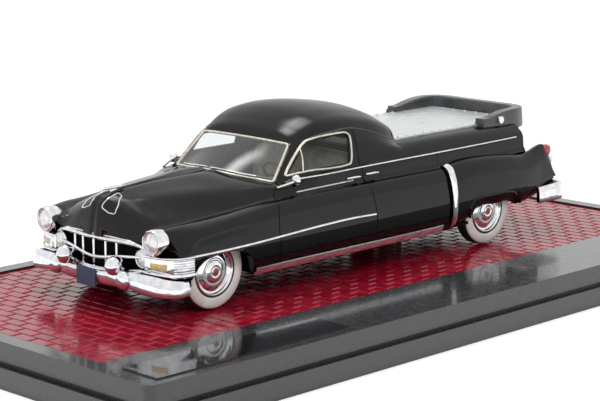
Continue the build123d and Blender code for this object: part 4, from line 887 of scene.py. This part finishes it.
make("rear_bumper_chrome", join(rear_blade, pair(lambda y: guard(-120.2, y, 8.2, 14.0, 2.8, 1.8), 16.5)),
     chrome, "rear_bumper")

# Lamps at the front. Each row: piece, profile, centre x and z, y, count of sides, material, solid and slot
lamp_rim = [(-1.9, 2.7), (-0.9, 2.84), (0.2, 2.9), (0.8, 2.86), (1.15, 2.74), (1.3, 2.55), (1.25, 2.4),
            (0.9, 2.32),
            (0.5, 2.3)]
lamp_glass = [(0.5, 2.36), (0.8, 2.33), (1.02, 1.9), (1.18, 1.3), (1.26, 0.6), (1.28, 0)]
fog_rim = [(-1, 1.2), (-0.2, 1.9), (0.4, 2.07), (0.8, 2.05), (0.98, 1.9), (0.95, 1.75), (0.7, 1.7)]
fog_glass = [(0.7, 1.74), (0.86, 1.7), (1, 1.2), (1.06, 0.6), (1.08, 0)]
for piece, profile, x, z, half, count, material, solid, slot in (
        ("headlamp_rings", lamp_rim, 15.5, 17.19, 17.95, 72, chrome, "headlamp_rims", "chrome"),
        ("headlamp_glasses", lamp_glass, 15.5, 17.19, 17.95, 60, lens, "headlamp_lenses", "lens"),
        ("fog_lamp_rings", fog_rim, 14.7, 13.0, 13.7, 48, chrome, "fog_lamps", "chrome"),
        ("fog_lamp_glasses", fog_glass, 14.7, 13.0, 13.7, 48, lens, "", "lens")):
    make(piece, pair(lambda y: lathe(profile, (x, y, z), AHEAD, count), half), material, solid)

# Chrome band round the front corner: a flat skin, a bar above and below it, ribs behind the amber lamp
corner_plan = along([(15.7, 15), (15.5, 17), (15.1, 19), (14.3, 20.8), (13, 22.2), (11.2, 22.95),
                     (9, 23.15)], 0.3)
count = len(corner_plan)
turn = int(count * 0.6)


def round_corner(z, first, last, tall, thick):
    """A band at a height that follows the corner's plan between two points of it."""
    plan = corner_plan[first:last]
    outline = [(-thick, -tall / 2), (thick, -tall / 2), (thick, tall / 2), (-thick, tall / 2)]
    return sweep(np.column_stack([plan, np.full(len(plan), z)]),
                 rounded(outline, min(tall, thick) * 0.6, 3), UP)


bands = [round_corner(*row) for row in (
    (12.05, 0, count, 3.5, 0.12), (13.85, 0, count, 0.5, 0.42), (10.1, 0, count, 0.95, 0.6),
    *[(z, turn, count, 0.3, 0.28) for z in np.arange(10.75, 13.5, 0.52)],
    *[(12.05, k - 1, k + 2, 3.3, 0.45) for k in (int(count * 0.13), turn - 1)])]
make("lamp_panel_chrome", both_sides(join(*bands)), chrome, "fender_side_panels lamp_bars")
make("parking_lamp_lenses", both_sides(round_corner(12.0, int(count * 0.17), int(count * 0.5), 1.25, 0.42)),
     amber,
     "parking_lamps")

# Grille: a rim round the mouth, three cross bars and upright posts, all on the nose's curve
mouth = np.concatenate([mouth_low, mouth_side[1:-1]])
loop = np.concatenate([mouth, (mouth * [-1, 1])[-2:0:-1]])
loop = along(np.concatenate([loop, loop[:1]]), 0.4)[:-1]
bars = [sweep(on_nose(loop), ring_of(14, 0.48), AHEAD, closed=True)]
bars += [wire(on_nose(along(mirrored(line, 0), 0.4)), radius, AHEAD, 14) for line, radius in (
    ([(-15, 13.3), (-9, 12.9), (0, 11.8)], 0.42), ([(-13.5, 10.4), (-9, 9.9), (0, 9.5)], 0.25),
    ([(-16.9, 13.9), (-13.9, 15.5), (-12, 16.2), (-7, 16.75), (0, 16.8)], 0.2))]
posts = [block(nose_x(y) - 0.7, nose_x(y) + 0.1, y - 0.3, y + 0.3, 9.3, 16.0) for y in (-7.0, -3.8, 0.0,
                                                                                        3.8, 7.0)]
make("grille_bars", join(*bars, *posts), chrome, "grille")
across_y = np.linspace(-15.9, 15.9, 33)
behind = [on_nose(np.column_stack([across_y, np.full(33, z)])) - [1.6, 0, 0] for z in (9.0, 16.6)]
make("grille_dark_panel", skin(np.stack(behind), (0, 0, 13)), dull_black, "grille_backing")

# Tail lamps on the fender ends: a red lens over a clear one
make("tail_lamp_lenses", pair(lambda y: ball((-115.2, y, 21.3), (1.5, 1.15, 1.5)), 20.3), red_lens,
     "tail_lamps")
make("reversing_lamp_lenses", pair(lambda y: ball((-116.6, y, 18.8), (0.95, 0.95, 0.95)), 20.3), lens,
     "reversing_lamps")

# Deck rail: a section that grows in height from its tips, up one side, round the rear and back
RAIL_FOOT_Z = 28.5
plan = along(mirrored([(-95, 15.1), (-103, 15.1), (-109, 15), (-111.4, 13.9), (-112.5, 11.7), (-112.7, 6),
                       (-112.7, 0)]), 0.4)
rail_path = np.column_stack([plan, np.full(len(plan), RAIL_FOOT_Z)])
reach = np.clip((plan[:, 0] + 95.0) / -13.5, 0, 1)
height = 1.7 + 2.2 * (1 - (1 - reach) ** 2)
section = rounded([(-1.4, 0), (1.5, -0.28), (1.2, 1), (-1.4, 1)], 0.18, 2)
side = np.cross(unit(np.gradient(rail_path, axis=0)), UP)
rings = (rail_path[:, None] + side[:, None] * section[None, :, :1]
         + np.array(UP) * section[None, :, 1:] * height[:, None, None])
make("deck_rail_moulding", tube(rings), satin_black, "deck_rail", sharp=40)

# Mirrors, handles, wipers, bonnet
mirror_arm = wire(along([(-19.9, 19, 24.3), (-21.8, 19.9, 24.8), (-24, 20.4, 25.3)], 0.2), 0.3, UP, 10)
mirror_head = lathe([(-0.9, 0), (-0.85, 0.5), (-0.55, 0.95), (-0.1, 1.15), (0.3, 1.2), (0.4, 1.1), (0.35, 0)],
                    (-24.4, 20.5, 25.65), (-1, 0.1, 0), 40)
make("wing_mirrors", both_sides(join(mirror_arm, mirror_head)), chrome, "mirrors")
handles = []
for x0, x1, z in ((-40.9, -45.1, 23.8), (-47.4, -51.3, 24.0)):
    handle_path = on_side(side_points, [(x0, z), ((x0 + x1) / 2, z + 0.12), (x1, z)], 0.2)
    handle_path[:, 1] += 0.62 * np.sin(np.linspace(0, np.pi, len(handle_path))) ** 0.5
    handles.append(sweep(handle_path, ring_of(12, 0.4, 0.8), UP))
make("door_handle_pulls", both_sides(join(*handles)), chrome, "door_handles")
wipers = [wire(along([(-16.9, way * 0.5, 27.05), (-17.4, way * 4.0, 26.9), (-18.5, way * 8.0, 26.45),
                      (-20.2, way * 12.0, 26.0)], 0.3), 0.16, (1, 0, 1)) for way in (1, -1)]
make("wiper_arms", join(*wipers), chrome, "wipers")
make("bonnet_wing", join(ball((11.9, 0, 26.25), (3.3, 0.9, 0.3)), ball((11.4, 0, 25.4), (1.0, 0.3, 0.8))),
     chrome,
     "bonnet_ornament")
nose_frame = on_skin(bonnet_sheet,
                     [(11.2, 2.25, 25.1), (16.45, 2.05, 22.7), (16.65, 2.5, 21.9), (15.8, 5.9, 21.5)],
                     0.25, corner=0.5)
make("nose_frames", both_sides(sweep(nose_frame, ring_of(10, 0.15), (1, 0.3, 1), closed=True)), chrome)
crease = on_skin(bonnet_sheet, [(8.4, 0, 25.4), (0, 0, 26), (-8, 0, 26.2), (-15.8, 0, 26.45)], 0.4)
make("bonnet_crease", wire(crease, 0.13, UP), paint)


# Seat
def cushion(x0, x1, z0, z1, power):
    """A moulded block across the cabin with rounded edges: a sphere's points pushed out towards a box."""
    centre, size = np.array([x0 + x1, 0, z0 + z1]) / 2, np.array([x1 - x0, 2 * 16.4, z1 - z0]) / 2
    return ball(centre, size, power, 25, 48)


BACK_TOP = 28.1
BACK_LEAN = -0.12
back = cushion(-50.8, -46.6, 13.5, BACK_TOP, 0.35)
leaned = back[0] + (back[0][:, 2:] - BACK_TOP) * BACK_LEAN * np.array(AHEAD)
make("moulded_seat_base", cushion(-47.8, -36.2, 10.6, 16.0, 0.3), upholstery, "bench_seat")
make("moulded_seat_back", (leaned, *back[1:]), upholstery)

# Plinth inset: setts in a running bond over a dark bed
SETT_WIDE = 3.05
SETT_LONG = 5.55
FIRST_JOINT_X = 10.8
JOINT_Y = (27.5, 30.3)
HALF_JOINT = 0.06
SEED = 7


def setts(x0, x1, y0, y1):
    """Each sett is five by five points: its outer ring lies down in the joint, the next is just under the
    top, and the middle is highest. A small tilt and height of its own, from a fixed seed, is added to each.
    Rows run across the car, and their cross joints step by half a sett from row to row; setts at the border
    are cut to it."""
    row = np.arange(np.floor((x0 - FIRST_JOINT_X) / SETT_WIDE),
                    np.ceil((x1 - FIRST_JOINT_X) / SETT_WIDE))[:, None]
    column = np.arange(-13.0, 12.0)[None, :]
    left = FIRST_JOINT_X + SETT_WIDE * row + 0 * column
    near = np.where(row % 2 == 0, *JOINT_Y) + SETT_LONG * column
    low = np.stack([np.clip(left, x0, x1), np.clip(near, y0, y1)], -1).reshape(-1, 2)
    high = np.stack([np.clip(left + SETT_WIDE, x0, x1), np.clip(near + SETT_LONG, y0, y1)], -1).reshape(-1, 2)
    real = ((high - low) > 0.5).all(1)
    low, high = low[real], high[real]
    middle, half = (low + high) / 2, (high - low) / 2 - HALF_JOINT
    u = np.array([-1.0, -0.86, 0.0, 0.86, 1.0])
    drop = np.maximum(*[np.interp(np.abs(g), [0, 0.86, 1.0], [0.0, 0.012, 0.3])
                        for g in np.meshgrid(u, u, indexing="ij")])
    chance = np.random.default_rng(SEED).uniform(-1, 1, (len(low), 3))[:, :, None, None]
    a, b = u[None, :, None], u[None, None, :]
    z = -0.02 - drop[None] + chance[:, 0] * 0.02 + chance[:, 1] * 0.012 * a + chance[:, 2] * 0.02 * b
    x = middle[:, 0, None, None] + half[:, 0, None, None] * a + 0 * b
    y = middle[:, 1, None, None] + half[:, 1, None, None] * b + 0 * a
    one = grid(np.zeros((5, 5, 3)))[1]
    quads = one[None] + 25 * np.arange(len(low))[:, None, None]
    return np.stack([x, y, z], -1).reshape(-1, 3), quads.reshape(-1, 4), []


(bed_x0, bed_y0, bed_z0), (bed_x1, bed_y1, _) = [np.array(corner) * 1000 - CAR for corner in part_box("paving")]
make("paving_setts", setts(bed_x0, bed_x1, bed_y0, bed_y1), sett_red, "paving", sharp=12)
make("paving_bed", block(bed_x0, bed_x1, bed_y0, bed_y1, bed_z0, -0.3), joint_red)

# Solids that stay as they are, with a finish of their own
for material, names in ((plinth_plastic, "plinth"), (label_gloss, "label_plate"),
                        (dull_black, "chassis_plate"),
                        # Cabin floor and dashboard take the cabin trim, painted darker as shade inside the
                        # cabin
                        (shaded_cabin_trim, "cabin_floor dashboard"), (satin_black, "steering_wheel rail_brackets"),
                        (satin_black, "mounting_pillars"),
                        (plate_blue, "number_plate_front number_plate_rear"),
                        (deck_metal, "deck_panel"), (chrome, "deck_studs rail_lamps"),
                        (steel, "front_axle rear_axle mounting_screws")):
    for name in names.split():
        for slot in nodes[name].material_slots:
            slot.material = material


# Floor, light and camera. Lengths are in metres from here on
def shown_rays(tree):
    """1 on camera, glossy and transmission rays and 0 on the rest: the greatest of three of Light Path's
    outputs."""
    rays = node(tree, "LightPath").outputs
    seen = node(tree, "Math", {0: rays["Is Camera Ray"], 1: rays["Is Glossy Ray"]}, operation="MAXIMUM")
    return node(tree, "Math", {0: seen, 1: rays["Is Transmission Ray"]}, operation="MAXIMUM")


def stage_sheet(name, corners, material):
    """A flat sheet of the studio, which isn't part of the object."""
    mesh = bpy.data.meshes.new(name)
    mesh.from_pydata(corners, [], [(0, 1, 2, 3)])
    mesh.materials.append(material)
    made = bpy.data.objects.new(name, mesh)
    bpy.context.scene.collection.objects.link(made)
    made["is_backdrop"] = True
    return made


WHITE = (1, 1, 1, 1)
# Pale floor: white to the camera and in mirrors and panes, apart from where the object shades it
floor_white, tree = new_material("studio_floor_white")
matt = node(tree, "BsdfDiffuse", {"Color": linear("f4f4f5")})
spread = node(tree, "VectorMath", {0: node(tree, "TexCoord").outputs["Object"]},
              operation="LENGTH").outputs["Value"]
rise = node(tree, "MapRange",
            {"Value": spread, "From Min": 0.2, "From Max": 0.9, "To Min": 0.14, "To Max": 0.75})
glow = node(tree, "Emission", {"Color": WHITE, "Strength": rise})
both = node(tree, "AddShader", {0: matt, 1: glow})
node(tree, "OutputMaterial", {"Surface": node(tree, "MixShader", {0: shown_rays(tree), 1: matt, 2: both})})
stage_sheet("studio_floor", [(-9, -9, 0), (9, -9, 0), (9, 9, 0), (-9, 9, 0)], floor_white)

# Surroundings: plain white where they are seen or mirrored, and a soft grey that darkens upwards as light
world = bpy.data.worlds.new("studio")
bpy.context.scene.world = world
world.use_nodes = True
tree = world.node_tree
tree.nodes.clear()
up = node(tree, "SeparateXYZ", {0: node(tree, "TexCoord").outputs["Generated"]}).outputs[2]
ramp = node(tree, "MapRange", {"Value": up, "From Min": -0.1, "From Max": 0.7, "To Min": 0.75, "To Max": 0.3})
soft, white = [node(tree, "Background", {"Color": WHITE, "Strength": strength}) for strength in (ramp, 1.0)]
node(tree, "OutputWorld", {"Surface": node(tree, "MixShader", {0: shown_rays(tree), 1: soft, 2: white})})

# Area lamps: place, target, size along and across, and watts
for name, place, target, wide, tall, watts in (
        ("key", (0.25, 0.55, 0.55), (0, 0, 0.02), 0.45, 0.35, 3.2),
        ("top", (-0.05, -0.05, 0.7), (0, 0, 0.02), 0.5, 0.3, 2.6),
        ("fill", (0.6, -0.15, 0.35), (0.05, 0, 0.02), 0.3, 0.3, 1.2)):
    lamp = bpy.data.lights.new(name, "AREA")
    lamp.shape, lamp.size, lamp.size_y, lamp.energy = "RECTANGLE", wide, tall, watts
    made = bpy.data.objects.new(name, lamp)
    made.location = place
    made.rotation_euler = (Vector(target) - Vector(place)).to_track_quat("-Z", "Y").to_euler()
    bpy.context.scene.collection.objects.link(made)
    made.visible_glossy = False

# A soft-edged white sheet high behind the car, seen in shiny surfaces alone: it gives the roof's front
# shoulder its sheen. Its light falls off from its middle with a smooth step, and so does the sheet itself
SHEET_X, SHEET_Y, SHEET_Z = (-0.45, 0.27), (-0.55, -0.07), 0.7
SHEET_GLOW = 9.0
sheet_glow, tree = new_material("studio_sheet_glow")
offset = [-sum(SHEET_X) / 2, -sum(SHEET_Y) / 2, -SHEET_Z]
place = node(tree, "VectorMath", {0: node(tree, "TexCoord").outputs["Object"], 1: offset}, operation="ADD")
scaled = node(tree, "VectorMath", {0: place, 1: (1 / 0.36, 1 / 0.24, 0)}, operation="MULTIPLY")
away = node(tree, "VectorMath", {0: scaled}, operation="LENGTH").outputs["Value"]
strength, fade = [node(tree, "MapRange", {"Value": away, "From Min": 0.0, "From Max": 1.0, "To Min": top,
                                          "To Max": 0.0}, interpolation_type="SMOOTHSTEP")
                  for top in (SHEET_GLOW, 1.0)]
emission = node(tree, "Emission", {"Color": WHITE, "Strength": strength})
see_through = node(tree, "BsdfTransparent")
node(tree, "OutputMaterial", {"Surface": node(tree, "MixShader", {0: fade, 1: see_through, 2: emission})})
sheet = stage_sheet("studio_sheet",
                    [(SHEET_X[i], SHEET_Y[j], SHEET_Z) for i, j in ((0, 0), (0, 1), (1, 1), (1, 0))],
                    sheet_glow)
sheet.visible_camera = sheet.visible_diffuse = sheet.visible_transmission = sheet.visible_shadow = False

# Camera at the photograph's angle: place in metres, height and turn in degrees, lens in millimetres
CAMERA_PLACE = (0.33785, 0.32375, 0.11725)
CAMERA_ELEVATION = 11.2679
CAMERA_AZIMUTH = 134.6076
CAMERA_LENS = 119.45
camera = bpy.data.cameras.new("photo_camera")
camera.lens, camera.sensor_width, camera.clip_start, camera.clip_end = CAMERA_LENS, 36.0, 0.01, 20
view = bpy.data.objects.new("photo_camera", camera)
view.location = CAMERA_PLACE
view.rotation_euler = (np.radians(90 - CAMERA_ELEVATION), 0, np.radians(CAMERA_AZIMUTH))
bpy.context.scene.collection.objects.link(view)
bpy.context.scene.camera = view
bpy.context.scene.view_settings.view_transform = "Standard"

low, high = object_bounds()
